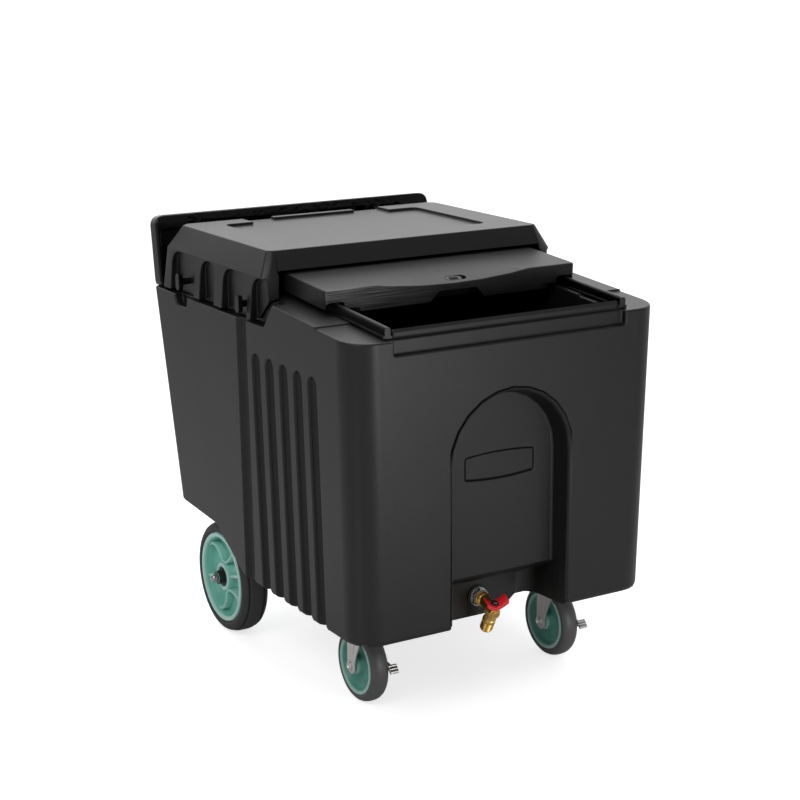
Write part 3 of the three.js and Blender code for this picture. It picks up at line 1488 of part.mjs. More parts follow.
// The drain shelf in the well: a slotted plate on legs.
function drainShelf() {
  const gap = shelfMargin;
  const x = wellHalfWidth - gap;
  const front = wellFrontY + drainFlangeThickness + gap;
  const rear = wellRearY - gap;
  const plate = bar(rectangle(-x, x, front, rear, wellCornerRadius - gap), Z, shelfZ,
    shelfZ + shelfThickness);
  const slope = (wellRearZ - wellFrontZ) / (wellRearY - wellFrontY);
  const legs = [];
  for (const side of Object.values(sides))
    for (const y of [keelFrontY + wellWall + wellCornerRadius * 1.5, rear - wellCornerRadius]) {
      const foot = wellFrontZ + (y + shelfLegRadius - wellFrontY) * slope + seat;
      legs.push(rod(shelfLegRadius, foot - shelfZ, bury, [side * (x - wellCornerRadius), y, shelfZ], Z,
        holeSteps));
    }
  let made = join(plate, ...legs);
  const xPitch = (2 * (x - wellCornerRadius * 2)) / (shelfSlotRows - 1);
  const yPitch = (rear - front - wellCornerRadius * 2) / shelfSlotColumns;
  for (let i = 0; i < shelfSlotRows; i++)
    for (let k = 0; k < shelfSlotColumns; k++) {
      const cx = -x + wellCornerRadius * 2 + i * xPitch;
      const cy = front + wellCornerRadius + (k + 1 / 2) * yPitch;
      made = made.subtract(block(cx - shelfSlotWidth / 2, cx + shelfSlotWidth / 2, cy - shelfSlotLength / 2,
        cy + shelfSlotLength / 2, shelfZ - overrun, shelfZ + overrun));
    }
  return made;
}

// Materials by what each piece is made of.
const finishes = {
  tub: { color: "#2f2f30", roughness: 0.6, metalness: 0 },
  hood: { color: "#343435", roughness: 0.55, metalness: 0 },
  lid: { color: "#3a3a3b", roughness: 0.5, metalness: 0 },
  gloss: { color: "#1c1c1d", roughness: 0.3, metalness: 0 },
  rail: { color: "#262627", roughness: 0.35, metalness: 0.2 },
  hub: { color: "#6fae9c", roughness: 0.45, metalness: 0 },
  tyre: { color: "#434345", roughness: 0.7, metalness: 0 },
  zinc: { color: "#b5b2b2", roughness: 0.35, metalness: 0.9 },
  steel: { color: "#c4c4c4", roughness: 0.3, metalness: 0.9 },
  rubber: { color: "#161616", roughness: 0.8, metalness: 0 },
  brass: { color: "#c9952f", roughness: 0.3, metalness: 0.9 },
  red: { color: "#e3202b", roughness: 0.45, metalness: 0 },
  shelf: { color: "#d8d8d4", roughness: 0.5, metalness: 0 },
};

const chest = new THREE.Group();

function add(parent, name, made, finish) {
  const mesh = new THREE.Mesh(geometryOf(made), new THREE.MeshStandardMaterial(finishes[finish]));
  mesh.name = name;
  parent.add(mesh);
  return mesh;
}

function group(parent, matrix) {
  const made = new THREE.Group();
  made.applyMatrix4(matrix);
  parent.add(made);
  return made;
}

function addTop() {
  add(chest, "tub_body", tubBody(), "tub");
  add(chest, "drain_shelf", drainShelf(), "shelf");
  add(chest, "hood_cover", hoodCover(), "hood");
  for (const { name, side, y } of knobPlaces) add(chest, name, hoodKnob(side, y), "gloss");
  add(chest, "push_handle", pushHandle(), "gloss");
  const deck = group(chest, deckFrame);
  const rear = group(chest, rearFrame);
  for (const [name, side] of Object.entries(sides)) {
    add(deck, "slide_rail_" + name, slideRail(side), "rail");
    add(rear, "handle_screw_" + name, handleScrew(side), "zinc");
  }
  const lid = group(deck, new THREE.Matrix4().makeTranslation(0, lidFromFront, 0));
  add(lid, "sliding_lid", slidingLid(), "lid");
  add(group(lid, scoopFrame), "lid_latch", lidLatch(), "gloss");
}

function addRearWheels() {
  const axle = group(chest, new THREE.Matrix4().makeTranslation(0, axleY, axleZ));
  add(axle, "rear_axle", rod(axleRadius, -axleHalfLength, axleHalfLength, atOrigin, X, smallSteps), "zinc");
  for (const [name, side] of Object.entries(sides)) {
    const out = new THREE.Vector3(side, 0, 0);
    const wheel = group(axle, new THREE.Matrix4().makeTranslation(side * rearWheelX, 0, 0));
    add(wheel, "rear_hub_" + name, rearHub(side), "hub");
    add(wheel, "rear_tyre_" + name, tyre(rearTyreRadius, rearRimRadius, rearWheelWidth), "tyre");
    const washer = ring(axleRadius + seat, washerRadius, washerX, washerX + washerThickness, atOrigin,
      out, smallSteps);
    add(axle, "axle_washer_" + name, washer, "zinc");
    add(axle, "axle_nut_" + name, acornNut(side), "steel");
    add(group(axle, new THREE.Matrix4().makeTranslation(side * bracketX, 0, 0)), "axle_bracket_" + name,
      axleBracket(), "zinc");
    const from = bracketX + bracketThickness * 1.5 + seat;
    const to = rearWheelX - rearWheelWidth / 2 + ribSetback / 2 - seat;
    add(axle, "axle_spacer_" + name, ring(axleRadius + seat, spacerRadius, from, to, atOrigin, out,
      smallSteps), "zinc");
  }
}

function addCasters() {
  for (const [name, side] of Object.entries(sides)) {
    const swivel = group(chest, new THREE.Matrix4().makeTranslation(side * casterX, casterSwivelY, 0));
    add(swivel, "caster_plate_" + name, casterPlate(), "zinc");
    for (const bolt of plateBolts(side)) {
      const spot = group(chest, new THREE.Matrix4().makeTranslation(bolt.x, bolt.y, 0));
      add(spot, "plate_bolt_" + name + "_" + bolt.name, plateBolt(), "zinc");
    }
    add(swivel, "caster_fork_" + name, casterFork(), "zinc");
    const wheel = group(swivel, new THREE.Matrix4().makeTranslation(0, casterTrail, casterRadius));
    add(wheel, "caster_hub_" + name, casterHub(), "hub");
    add(wheel, "caster_tyre_" + name, tyre(casterRadius, casterRimRadius, casterWidth), "tyre");
    add(wheel, "caster_bolt_" + name, casterBolt(), "zinc");
    add(wheel, "caster_nut_" + name, casterNut(), "zinc");
    add(wheel, "brake_lever_" + name, brakeLever(), "zinc");
  }
}

function addDrain() {
  add(chest, "drain_tube", drainTube(), "zinc");
  add(chest, "drain_gasket", drainGasket(), "rubber");
  add(chest, "drain_washer", drainWasher(), "steel");
  add(chest, "drain_nut", drainNut(), "steel");
  add(chest, "valve_body", valveBody(), "brass");
  add(chest, "valve_cap", valveCap(), "brass");
  const valve = group(chest, valveFrame);
  add(valve, "valve_ball", valveBall(), "steel");
  add(valve, "valve_stem", valveStem(), "brass");
  add(valve, "valve_lever", valveLever(), "red");
  add(valve, "lever_screw", leverScrew(), "steel");
}

addTop();
addRearWheels();
addCasters();
addDrain();

export default chest;
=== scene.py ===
import json
import math
import bpy
from mathutils import Matrix, Vector

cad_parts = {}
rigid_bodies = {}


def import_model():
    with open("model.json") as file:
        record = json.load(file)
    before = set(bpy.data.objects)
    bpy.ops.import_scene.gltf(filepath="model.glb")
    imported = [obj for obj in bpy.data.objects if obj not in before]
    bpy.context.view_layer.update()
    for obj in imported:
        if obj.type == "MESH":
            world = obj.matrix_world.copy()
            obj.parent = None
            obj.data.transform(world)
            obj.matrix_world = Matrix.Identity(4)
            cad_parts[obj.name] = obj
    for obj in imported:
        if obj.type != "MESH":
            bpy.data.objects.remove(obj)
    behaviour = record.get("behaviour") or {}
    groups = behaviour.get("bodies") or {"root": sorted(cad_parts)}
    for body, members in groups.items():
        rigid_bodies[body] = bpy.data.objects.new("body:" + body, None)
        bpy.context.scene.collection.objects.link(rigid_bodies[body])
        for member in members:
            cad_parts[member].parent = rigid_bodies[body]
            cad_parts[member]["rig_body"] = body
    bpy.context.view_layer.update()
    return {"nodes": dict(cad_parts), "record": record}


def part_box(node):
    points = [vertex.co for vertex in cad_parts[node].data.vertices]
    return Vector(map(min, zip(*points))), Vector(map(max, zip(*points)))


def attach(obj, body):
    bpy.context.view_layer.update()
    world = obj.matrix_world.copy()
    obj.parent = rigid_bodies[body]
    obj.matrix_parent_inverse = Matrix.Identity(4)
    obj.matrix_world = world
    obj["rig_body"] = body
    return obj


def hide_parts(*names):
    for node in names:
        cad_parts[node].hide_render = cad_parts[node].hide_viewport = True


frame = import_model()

# A wheeled ice chest: a moulded tub on two fixed wheels and two braked casters, a clamped hood,
# a lid on rails, a push handle and a drain valve. Metres, +Z up, the handle towards +Y.
# Settings are in mm and degrees, apart from the studio's places and sizes, which are in metres.
mm = 0.001


# Camera and studio

cameraSettings = {
    "place": (-1.5300, -2.6109, 1.2018),
    "azimuth": -30.62,
    "elevation": 14.19,
    "roll": -0.45,
    "lens": 80.33,
    "sensorWidth": 36,
    "clipEnd": 200,
}


def addCamera(settings):
    bpy.ops.object.camera_add(location=settings["place"])
    camera = bpy.context.object
    camera.name = "camera"
    turn = Matrix.Rotation(math.radians(settings["azimuth"]), 4, "Z")
    pitch = Matrix.Rotation(math.radians(90 - settings["elevation"]), 4, "X")
    roll = Matrix.Rotation(math.radians(settings["roll"]), 4, "Z")
    camera.matrix_world = Matrix.Translation(settings["place"]) @ turn @ pitch @ roll
    camera.data.lens = settings["lens"]
    camera.data.sensor_width = settings["sensorWidth"]
    camera.data.clip_end = settings["clipEnd"]
    bpy.context.scene.camera = camera


# Softboxes: where each stands, what it points at, how wide it is and how strong, in watts
lightSettings = {
    "keySoftbox": {
        "place": (-2.4, -1.6, 2.6), "aim": (0, 0, 0.45), "size": (1.6, 1.6), "power": 34},
    "frontSoftbox": {
        "place": (0.42, -2.2, 0.35), "aim": (-0.25, -0.33, 0.5), "size": (0.55, 0.6), "power": 9},
    "topSoftbox": {
        "place": (0.3, 0.9, 2.9), "aim": (0, 0.1, 0.7), "size": (2.0, 1.2), "power": 20},
}
# The room: darkest away from the pull, brighter from a share of the way towards it, and white
# where it is seen
roomSettings = {
    "pull": (0.52, 0.83, 0.2), "from": 0.3, "dark": 0.3, "bright": 1.5, "seen": 1.0,
    "floorSize": 160, "floorGlow": 0.7,
}


def addLights(lights):
    for name, setting in lights.items():
        bpy.ops.object.light_add(type="AREA", location=setting["place"])
        light = bpy.context.object
        light.name = name
        light.data.shape = "RECTANGLE"
        light.data.size, light.data.size_y = setting["size"]
        light.data.energy = setting["power"]
        towards = Vector(setting["aim"]) - Vector(setting["place"])
        light.rotation_euler = towards.to_track_quat("-Z", "Y").to_euler()


def addRoom(settings):
    world = bpy.data.worlds.new("studio")
    world.use_nodes = True
    background = world.node_tree.nodes["Background"]
    background.inputs["Color"].default_value = (1, 1, 1, 1)
    direction = addNode(world, "ShaderNodeTexCoord", {})
    towards = addNode(world, "ShaderNodeVectorMath",
                      {0: (direction, "Generated"), 1: settings["pull"]}, operation="DOT_PRODUCT")
    strength = addNode(world, "ShaderNodeMapRange",
                       {"Value": (towards, "Value"), "From Min": settings["from"], "From Max": 1,
                        "To Min": settings["dark"], "To Max": settings["bright"]})
    ray = addNode(world, "ShaderNodeLightPath", {})
    light = addNode(world, "ShaderNodeMix",
                    {0: (ray, "Is Camera Ray"), 2: (strength, "Result"), 3: settings["seen"]})
    join(world, light, 0, background, "Strength")
    bpy.context.scene.world = world
    bpy.context.scene.view_settings.view_transform = "Standard"
    bpy.ops.mesh.primitive_plane_add(size=settings["floorSize"])
    floor = bpy.context.object
    floor.name = "floor"
    floor.data.materials.append(paleFloor(settings["floorGlow"]))


# Materials

# Pattern widths, and where a finish changes along its piece
finishSettings = {
    "mouldGrain": 2.4, "coolingRipple": 110,
    # where on X the lid edge's painted highlight is palest and where it has faded out
    "planedDepth": 2.5, "paintedHighlightPeak": -220, "paintedHighlightGone": -20,
    "gripHalfWidth": 225, "gripPebble": 9,
    "sawnDepth": 1.3,
    # how many a metre holds along X, Y and Z: the streaks are about 90 mm long and half a
    # millimetre high, and the die lines run 170 mm along Y and are 1 mm wide
    "planedStreaks": (11, 60, 1900), "dieLines": (900, 6, 900),
}


# An sRGB hex colour as the linear colour that a shader takes.
def colour(hexCode):
    parts = [int(hexCode[i:i + 2], 16) / 255 for i in (1, 3, 5)]
    linear = [p / 12.92 if p <= 0.04045 else ((p + 0.055) / 1.055) ** 2.4 for p in parts]
    return (*linear, 1)


# One shader node: inputs are plain values or (node, output) links, and the rest are its settings.
def addNode(material, kind, inputs, **settings):
    tree = material.node_tree
    node = tree.nodes.new(kind)
    for name, value in settings.items():
        setattr(node, name, value)
    for name, value in inputs.items():
        if isinstance(value, tuple) and isinstance(value[0], bpy.types.Node):
            tree.links.new(value[0].outputs[value[1]], node.inputs[name])
        else:
            node.inputs[name].default_value = value
    return node


# A material with its shader's constants set. Its object coordinates come back beside it.
def newMaterial(name, **constants):
    material = bpy.data.materials.new(name)
    material.use_nodes = True
    shader = material.node_tree.nodes["Principled BSDF"]
    for socket, value in constants.items():
        shader.inputs[socket.replace("_", " ")].default_value = value
    place = addNode(material, "ShaderNodeTexCoord", {})
    return material, shader, place


def join(material, source, output, target, socket):
    material.node_tree.links.new(source.outputs[output], target.inputs[socket])


# Wires up a plain surface. Its colour is the mix node given, and its roughness goes from smoothest
# to dullest over the pattern. The raised pattern, or else the same one, stands out by up to
# depth mm, as strongly as strength says.
def dressSurface(material, shader, tone, pattern, smoothest, dullest, depth=0, strength=0,
                 raised=None, output="Fac"):
    join(material, tone, 2, shader, "Base Color")
    dull = addNode(material, "ShaderNodeMapRange",
                   {"Value": (pattern, output), "To Min": smoothest, "To Max": dullest})
    join(material, dull, "Result", shader, "Roughness")
    if depth:
        bump = addNode(material, "ShaderNodeBump", {"Height": (raised or pattern, output),
                                                    "Distance": depth * mm, "Strength": strength})
        join(material, bump, "Normal", shader, "Normal")
    return material


# A matte paper sweep, burnt out to white where it is seen, as a studio's background light does.
def paleFloor(glow):
    material, shader, place = newMaterial("matte white paper sweep", Roughness=0.9,
                                          Emission_Color=(1, 1, 1, 1))
    ray = addNode(material, "ShaderNodeLightPath", {})
    seen = addNode(material, "ShaderNodeMath", {0: (ray, "Is Camera Ray"), 1: glow},
                   operation="MULTIPLY")
    join(material, seen, "Value", shader, "Emission Strength")
    fibres = addNode(material, "ShaderNodeTexNoise",
                     {"Vector": (place, "Object"), "Scale": 1 / (40 * mm)})
    tone = addNode(material, "ShaderNodeMix",
                   {0: (fibres, "Fac"), 6: colour("#e4e4e4"), 7: colour("#e8e8e8")},
                   data_type="RGBA")
    join(material, tone, 2, shader, "Base Color")
    return material


# Rotomoulded polyethylene: charcoal all through, a satin skin with the mould's blasted grain
# and slow ripples where the thick wall cooled. A painted highlight makes sharp edges a little paler.
def rotomouldedPolyethylene(name, dark, pale, edgeHighlight, roughness, planedTo=None):
    material, shader, place = newMaterial(name, IOR=1.42)
    # the real grain is about 0.3 mm, drawn as coarse as it needs to show
    grain = addNode(material, "ShaderNodeTexNoise",
                    {"Vector": (place, "Object"), "Scale": 1 / (finishSettings["mouldGrain"] * mm),
                     "Detail": 3.0})
    ripple = addNode(material, "ShaderNodeTexNoise",
                     {"Vector": (place, "Object"),
                      "Scale": 1 / (finishSettings["coolingRipple"] * mm), "Detail": 1.0})
    cloud = addNode(material, "ShaderNodeMix",
                    {0: (ripple, "Fac"), 6: colour(dark), 7: colour(pale)}, data_type="RGBA")
    shape = addNode(material, "ShaderNodeNewGeometry", {})
    # painted highlight: sharp convex edges, found by pointiness, are mixed towards the paler edge
    # colour
    edge = addNode(material, "ShaderNodeMapRange",
                   {"Value": (shape, "Pointiness"), "From Min": 0.52, "From Max": 0.6,
                    "To Max": 0.6})
    highlightedEdges = addNode(material, "ShaderNodeMix",
                   {0: (edge, "Result"), 6: (cloud, 2), 7: colour(edgeHighlight)}, data_type="RGBA")
    dull = addNode(material, "ShaderNodeMapRange",
                   {"Value": (grain, "Fac"), "To Min": roughness - 0.05,
                    "To Max": roughness + 0.05})
    slow = addNode(material, "ShaderNodeBump",
                   {"Height": (ripple, "Fac"), "Distance": 1.2 * mm, "Strength": 0.35})
    fine = addNode(material, "ShaderNodeBump",
                   {"Height": (grain, "Fac"), "Distance": 0.25 * mm, "Strength": 0.6,
                    "Normal": (slow, "Normal")})
    tone, gloss, relief = (highlightedEdges, 2), (dull, "Result"), (fine, "Normal")
    if planedTo is not None:
        tone, gloss, relief = planedEdge(material, place, planedTo, tone, gloss, relief)
    join(material, *tone, shader, "Base Color")
    join(material, *gloss, shader, "Roughness")
    join(material, *relief, shader, "Normal")
    return material


# The lid's planed front edge: long streaks that shine where they lie flat, with a painted highlight
# that makes them palest at the left corner and fades out to the right. It ends at the place on Y that
# planedTo gives.
def planedEdge(material, place, planedTo, tone, gloss, relief):
    split = addNode(material, "ShaderNodeSeparateXYZ", {"Vector": (place, "Object")})
    onEdge = addNode(material, "ShaderNodeMath", {0: (split, "Y"), 1: planedTo},
                     operation="LESS_THAN")
    lines = addNode(material, "ShaderNodeMapping",
                    {"Vector": (place, "Object"), "Scale": finishSettings["planedStreaks"]})
    streaks = addNode(material, "ShaderNodeTexNoise",
                      {"Vector": (lines, "Vector"), "Scale": 1.0, "Detail": 4.0})
    pick = addNode(material, "ShaderNodeMapRange",
                   {"Value": (streaks, "Fac"), "From Min": 0.42, "From Max": 0.66})
    share = addNode(material, "ShaderNodeMath", {0: (onEdge, "Value"), 1: (pick, "Result")},
                    operation="MULTIPLY")
    # painted highlight: the streaks' colour goes from pale grey at the left corner to dark at the
    # right
    fade = addNode(material, "ShaderNodeMapRange",
                   {"Value": (split, "X"), "From Min": finishSettings["paintedHighlightPeak"] * mm,
                    "From Max": finishSettings["paintedHighlightGone"] * mm})
    highlightTone = addNode(material, "ShaderNodeMix",
                    {0: (fade, "Result"), 6: colour("#8f8f91"), 7: colour("#262627")},
                    data_type="RGBA")
    streaked = addNode(material, "ShaderNodeMix",
                       {0: (share, "Value"), 6: tone, 7: (highlightTone, 2)}, data_type="RGBA")
    shiny = addNode(material, "ShaderNodeMix", {0: (share, "Value"), 2: gloss, 3: 0.24})
    depth = addNode(material, "ShaderNodeMath", {0: (onEdge, "Value"), 1: (streaks, "Fac")},
                    operation="MULTIPLY")
    scraped = addNode(material, "ShaderNodeBump",
                      {"Height": (depth, "Value"), "Distance": 0.6 * mm, "Strength": 0.5,
                       "Normal": relief})
    return (streaked, 2), (shiny, 0), (scraped, "Normal")


# Injection-moulded glossy black plastic: smooth skin with faint sink marks. The handle's has a
# grip of pebbles between its cheeks.
def glossyMouldedPlastic(name, pebbled=False):
    material, shader, place = newMaterial(name, IOR=1.34)
    sink = addNode(material, "ShaderNodeTexNoise",
                   {"Vector": (place, "Object"), "Scale": 1 / (35 * mm)})
    tone = addNode(material, "ShaderNodeMix",
                   {0: (sink, "Fac"), 6: colour("#070708"), 7: colour("#0c0c0d")},
                   data_type="RGBA")
    dressSurface(material, shader, tone, sink, smoothest=0.16, dullest=0.26)
    bump = addNode(material, "ShaderNodeBump",
                   {"Height": (sink, "Fac"), "Distance": 0.6 * mm, "Strength": 0.3})
    if pebbled:
        split = addNode(material, "ShaderNodeSeparateXYZ", {"Vector": (place, "Object")})
        reach = addNode(material, "ShaderNodeMath", {0: (split, "X")}, operation="ABSOLUTE")
        inside = addNode(material, "ShaderNodeMath",
                         {0: (reach, "Value"), 1: finishSettings["gripHalfWidth"] * mm},
                         operation="LESS_THAN")
        pebbles = addNode(material, "ShaderNodeTexVoronoi",
                          {"Vector": (place, "Object"),
                           "Scale": 1 / (finishSettings["gripPebble"] * mm)}, feature="SMOOTH_F1")
        height = addNode(material, "ShaderNodeMath",
                         {0: (inside, "Value"), 1: (pebbles, "Distance")}, operation="MULTIPLY")
        bump = addNode(material, "ShaderNodeBump",
                       {"Height": (height, "Value"), "Distance": 3 * mm, "Strength": 0.5,
                        "Normal": (bump, "Normal")})
    join(material, bump, "Normal", shader, "Normal")
    return material


# Black anodised aluminium extrusion: fine die lines along it, paler where the saw cut its end.
def anodisedAluminium():
    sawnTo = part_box("slide_rail_left")[0].y + finishSettings["sawnDepth"] * mm
    material, shader, place = newMaterial("black anodised aluminium", Metallic=1.0)
    lines = addNode(material, "ShaderNodeMapping",
                    {"Vector": (place, "Object"), "Scale": finishSettings["dieLines"]})
    drawn = addNode(material, "ShaderNodeTexNoise", {"Vector": (lines, "Vector"), "Scale": 1.0})
    split = addNode(material, "ShaderNodeSeparateXYZ", {"Vector": (place, "Object")})
    sawn = addNode(material, "ShaderNodeMath", {0: (split, "Y"), 1: sawnTo},
                   operation="LESS_THAN")
    tone = addNode(material, "ShaderNodeMix",
                   {0: (sawn, "Value"), 6: colour("#1d1d1f"), 7: colour("#3b3b3d")},
                   data_type="RGBA")
    return dressSurface(material, shader, tone, drawn, smoothest=0.32, dullest=0.5,
                        depth=0.05, strength=0.4)


# Sea-green moulded polyolefin: waxy and slightly milky, with flow marks and a painted highlight that
# makes its sharp rims paler.
def mouldedPolyolefin(name, deep, light):
    material, shader, place = newMaterial(name, IOR=1.49, Subsurface_Weight=0.12,
                                          Subsurface_Scale=3 * mm)
    flow = addNode(material, "ShaderNodeTexNoise",
                   {"Vector": (place, "Object"), "Scale": 1 / (22 * mm), "Detail": 3.0,
                    "Distortion": 0.6})
    tone = addNode(material, "ShaderNodeMix",
                   {0: (flow, "Fac"), 6: colour(deep), 7: colour(light)}, data_type="RGBA")
    # painted highlight: sharp rims, found by pointiness, are mixed towards a pale green
    shape = addNode(material, "ShaderNodeNewGeometry", {})
    edge = addNode(material, "ShaderNodeMapRange",
                   {"Value": (shape, "Pointiness"), "From Min": 0.505, "From Max": 0.57,
                    "To Max": 0.9})
    rimHighlighted = addNode(material, "ShaderNodeMix",
                     {0: (edge, "Result"), 6: (tone, 2), 7: colour("#c6e8df")},
                     data_type="RGBA")
    return dressSurface(material, shader, rimHighlighted, flow, smoothest=0.32, dullest=0.46,
                        depth=0.3, strength=0.3)


# Thermoplastic rubber tyre: dull dark grey, dusty, with the mould's fine grain, drawn at 1.6 mm so
# that it shows. The roughness given is that of half-dusty rubber.
def thermoplasticRubber(name, dark, pale, roughness):
    material, shader, place = newMaterial(name, IOR=1.52)
    dust = addNode(material, "ShaderNodeTexNoise",
                   {"Vector": (place, "Object"), "Scale": 1 / (18 * mm), "Detail": 6.0})
    grain = addNode(material, "ShaderNodeTexNoise",
                    {"Vector": (place, "Object"), "Scale": 1 / (1.6 * mm)})
    tone = addNode(material, "ShaderNodeMix",
                   {0: (dust, "Fac"), 6: colour(dark), 7: colour(pale)}, data_type="RGBA")
    return dressSurface(material, shader, tone, dust, smoothest=roughness - 0.08,
                        dullest=roughness + 0.08, depth=0.1, strength=0.5, raised=grain)


# Zinc-plated pressed steel: pale grey metal with crystal spangle and a faint warm passivate.
def zincPlatedSteel():
    material, shader, place = newMaterial("zinc plated pressed steel", Metallic=1.0)
    spangle = addNode(material, "ShaderNodeTexVoronoi",
                      {"Vector": (place, "Object"), "Scale": 1 / (5 * mm)})
    bath = addNode(material, "ShaderNodeTexNoise",
                   {"Vector": (place, "Object"), "Scale": 1 / (25 * mm)})
    tone = addNode(material, "ShaderNodeMix",
                   {0: (bath, "Fac"), 6: colour("#dddbdd"), 7: colour("#e9e4dd")},
                   data_type="RGBA")
    return dressSurface(material, shader, tone, spangle, smoothest=0.28, dullest=0.46,
                        depth=0.08, strength=0.3, output="Distance")


# Bright stainless steel, turned and wiped: fine random scratches, drawn as coarse as they need to
# show.
def brightStainlessSteel():
    material, shader, place = newMaterial("bright stainless steel", Metallic=1.0)
    wipe = addNode(material, "ShaderNodeTexNoise",
                   {"Vector": (place, "Object"), "Scale": 1 / (3 * mm), "Detail": 5.0,
                    "Roughness": 0.7})
    tone = addNode(material, "ShaderNodeMix",
                   {0: (wipe, "Fac"), 6: colour("#9a9b9e"), 7: colour("#b4b4b3")},
                   data_type="RGBA")
    return dressSurface(material, shader, tone, wipe, smoothest=0.14, dullest=0.3,
                        depth=0.04, strength=0.3)


# Black gasket rubber: soft, dull, with a talc bloom in patches of 4 mm.
def sealRubber():
    material, shader, place = newMaterial("black gasket rubber", IOR=1.52)
    bloom = addNode(material, "ShaderNodeTexNoise",
                    {"Vector": (place, "Object"), "Scale": 1 / (4 * mm), "Detail": 4.0})
    tone = addNode(material, "ShaderNodeMix",
                   {0: (bloom, "Fac"), 6: colour("#101010"), 7: colour("#1c1c1c")},
                   data_type="RGBA")
    return dressSurface(material, shader, tone, bloom, smoothest=0.5, dullest=0.75)


# Forged and machined brass: warm yellow, a satin forged skin with browner hollows. The skin's real
# grain is about 0.5 mm, drawn at 2.2 mm so that it shows.
def forgedBrass():
    material, shader, place = newMaterial("forged and machined brass", Metallic=1.0)
    skin = addNode(material, "ShaderNodeTexNoise",
                   {"Vector": (place, "Object"), "Scale": 1 / (2.2 * mm), "Detail": 5.0})
    shape = addNode(material, "ShaderNodeNewGeometry", {})
    hollow = addNode(material, "ShaderNodeMapRange",
                     {"Value": (shape, "Pointiness"), "From Min": 0.5, "From Max": 0.42,
                      "To Max": 0.8})
    tone = addNode(material, "ShaderNodeMix",
                   {0: (skin, "Fac"), 6: colour("#e6b45a"), 7: colour("#f6cd7c")},
                   data_type="RGBA")
    aged = addNode(material, "ShaderNodeMix",
                   {0: (hollow, "Result"), 6: (tone, 2), 7: colour("#8a5f22")},
                   data_type="RGBA")
    return dressSurface(material, shader, aged, skin, smoothest=0.24, dullest=0.42,
                        depth=0.1, strength=0.35)


# Steel strip dipped in red vinyl: thick, smooth and softly glossy.
def dippedRedVinyl():
    material, shader, place = newMaterial("red vinyl dipped steel", IOR=1.52, Coat_Weight=0.25,
                                          Coat_Roughness=0.2)
    skin = addNode(material, "ShaderNodeTexNoise",
                   {"Vector": (place, "Object"), "Scale": 1 / (6 * mm)})
    tone = addNode(material, "ShaderNodeMix",
                   {0: (skin, "Fac"), 6: colour("#e01420"), 7: colour("#f0222e")},
                   data_type="RGBA")
    return dressSurface(material, shader, tone, skin, smoothest=0.3, dullest=0.42,
                        depth=0.2, strength=0.3)


# Off-white polyethylene: waxy and a little translucent.
def naturalPolyethylene():
    material, shader, place = newMaterial("natural polyethylene", IOR=1.51, Subsurface_Weight=0.2,
                                          Subsurface_Scale=4 * mm)
    cloud = addNode(material, "ShaderNodeTexNoise",
                    {"Vector": (place, "Object"), "Scale": 1 / (30 * mm)})
    tone = addNode(material, "ShaderNodeMix",
                   {0: (cloud, "Fac"), 6: colour("#d4d3cc"), 7: colour("#e0dfda")},
                   data_type="RGBA")
    return dressSurface(material, shader, tone, cloud, smoothest=0.4, dullest=0.55)


# One finish for each of the record's material slots
finishes = {
    "tub": rotomouldedPolyethylene("rotomoulded polyethylene, tub",
                                   "#0d0d0e", "#131314", "#242425", 0.40),
    "hood": rotomouldedPolyethylene("rotomoulded polyethylene, hood",
                                    "#0e0e0f", "#141415", "#262627", 0.38),
    "lid": rotomouldedPolyethylene("rotomoulded polyethylene, lid",
                                   "#0b0b0c", "#111112", "#28282a", 0.42,
                                   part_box("sliding_lid")[0].y + finishSettings["planedDepth"] * mm),
    "gloss": glossyMouldedPlastic("glossy moulded plastic"),
    "rail": anodisedAluminium(),
    "hub": mouldedPolyolefin("sea green moulded polyolefin", "#4f9082", "#64a898"),
    "tyre": thermoplasticRubber("black thermoplastic rubber", "#272627", "#3a3839", 0.63),
    "zinc": zincPlatedSteel(),
    "steel": brightStainlessSteel(),
    "seal": sealRubber(),
    "brass": forgedBrass(),
    "red": dippedRedVinyl(),
    "shelf": naturalPolyethylene(),
}
# Nodes that have their slot's finish in another shade or grain
variants = {
    "caster_tyre": thermoplasticRubber("grey thermoplastic rubber", "#484748", "#5a595a", 0.46),
    # painted light: the rear hubs get a paler copy of the hub finish for their lit look, against the
    # casters in the tub's shade
    "rear_hub": mouldedPolyolefin("sea green moulded polyolefin, painted lighter", "#72bbab", "#89cfc0"),
    "push_handle": glossyMouldedPlastic("glossy moulded plastic, pebbled grip", pebbled=True),
}
print("materials:", len(finishes) + len(variants))


# Modelling helpers

# Points nearer than these are one point, and faces turned by less are one flat
meshSettings = {"nearest": 0.01, "nearestInCopy": 0.02, "flatUnder": 0.5}


def pickOnly(piece):
    bpy.ops.object.select_all(action="DESELECT")
    piece.select_set(True)
    bpy.context.view_layer.objects.active = piece


def applyModifier(piece, kind, **settings):
    pickOnly(piece)
    modifier = piece.modifiers.new(kind.lower(), kind)
    for name, value in settings.items():
        setattr(modifier, name, value)
    bpy.ops.object.modifier_apply(modifier=modifier.name)


# Smooth shading on the active piece that keeps the edges sharper than the angle.
def shadeSmooth(angle=40):
    bpy.ops.object.shade_smooth_by_angle(angle=math.radians(angle))


# Soft edges on a closed mesh: a bevel on every edge sharper than the angle, and flats kept flat.
def softenEdges(piece, width, segments=3, angle=28):
    applyModifier(piece, "BEVEL", width=width * mm, segments=segments, limit_method="ANGLE",
                  angle_limit=math.radians(angle), use_clamp_overlap=False,
                  miter_outer="MITER_ARC")
    shadeSmooth(angle)
    applyModifier(piece, "WEIGHTED_NORMAL", keep_sharp=True)


# The same for small turned parts, in fewer segments, which leaves their gentler corners.
def softenTurned(piece, width):
    softenEdges(piece, width, segments=2, angle=35)


# Bevels the edges of a thickened strip.
def roundStrip(piece, width, sharperThan):
    applyModifier(piece, "BEVEL", width=width * mm, segments=3, limit_method="ANGLE",
                  angle_limit=math.radians(sharperThan))


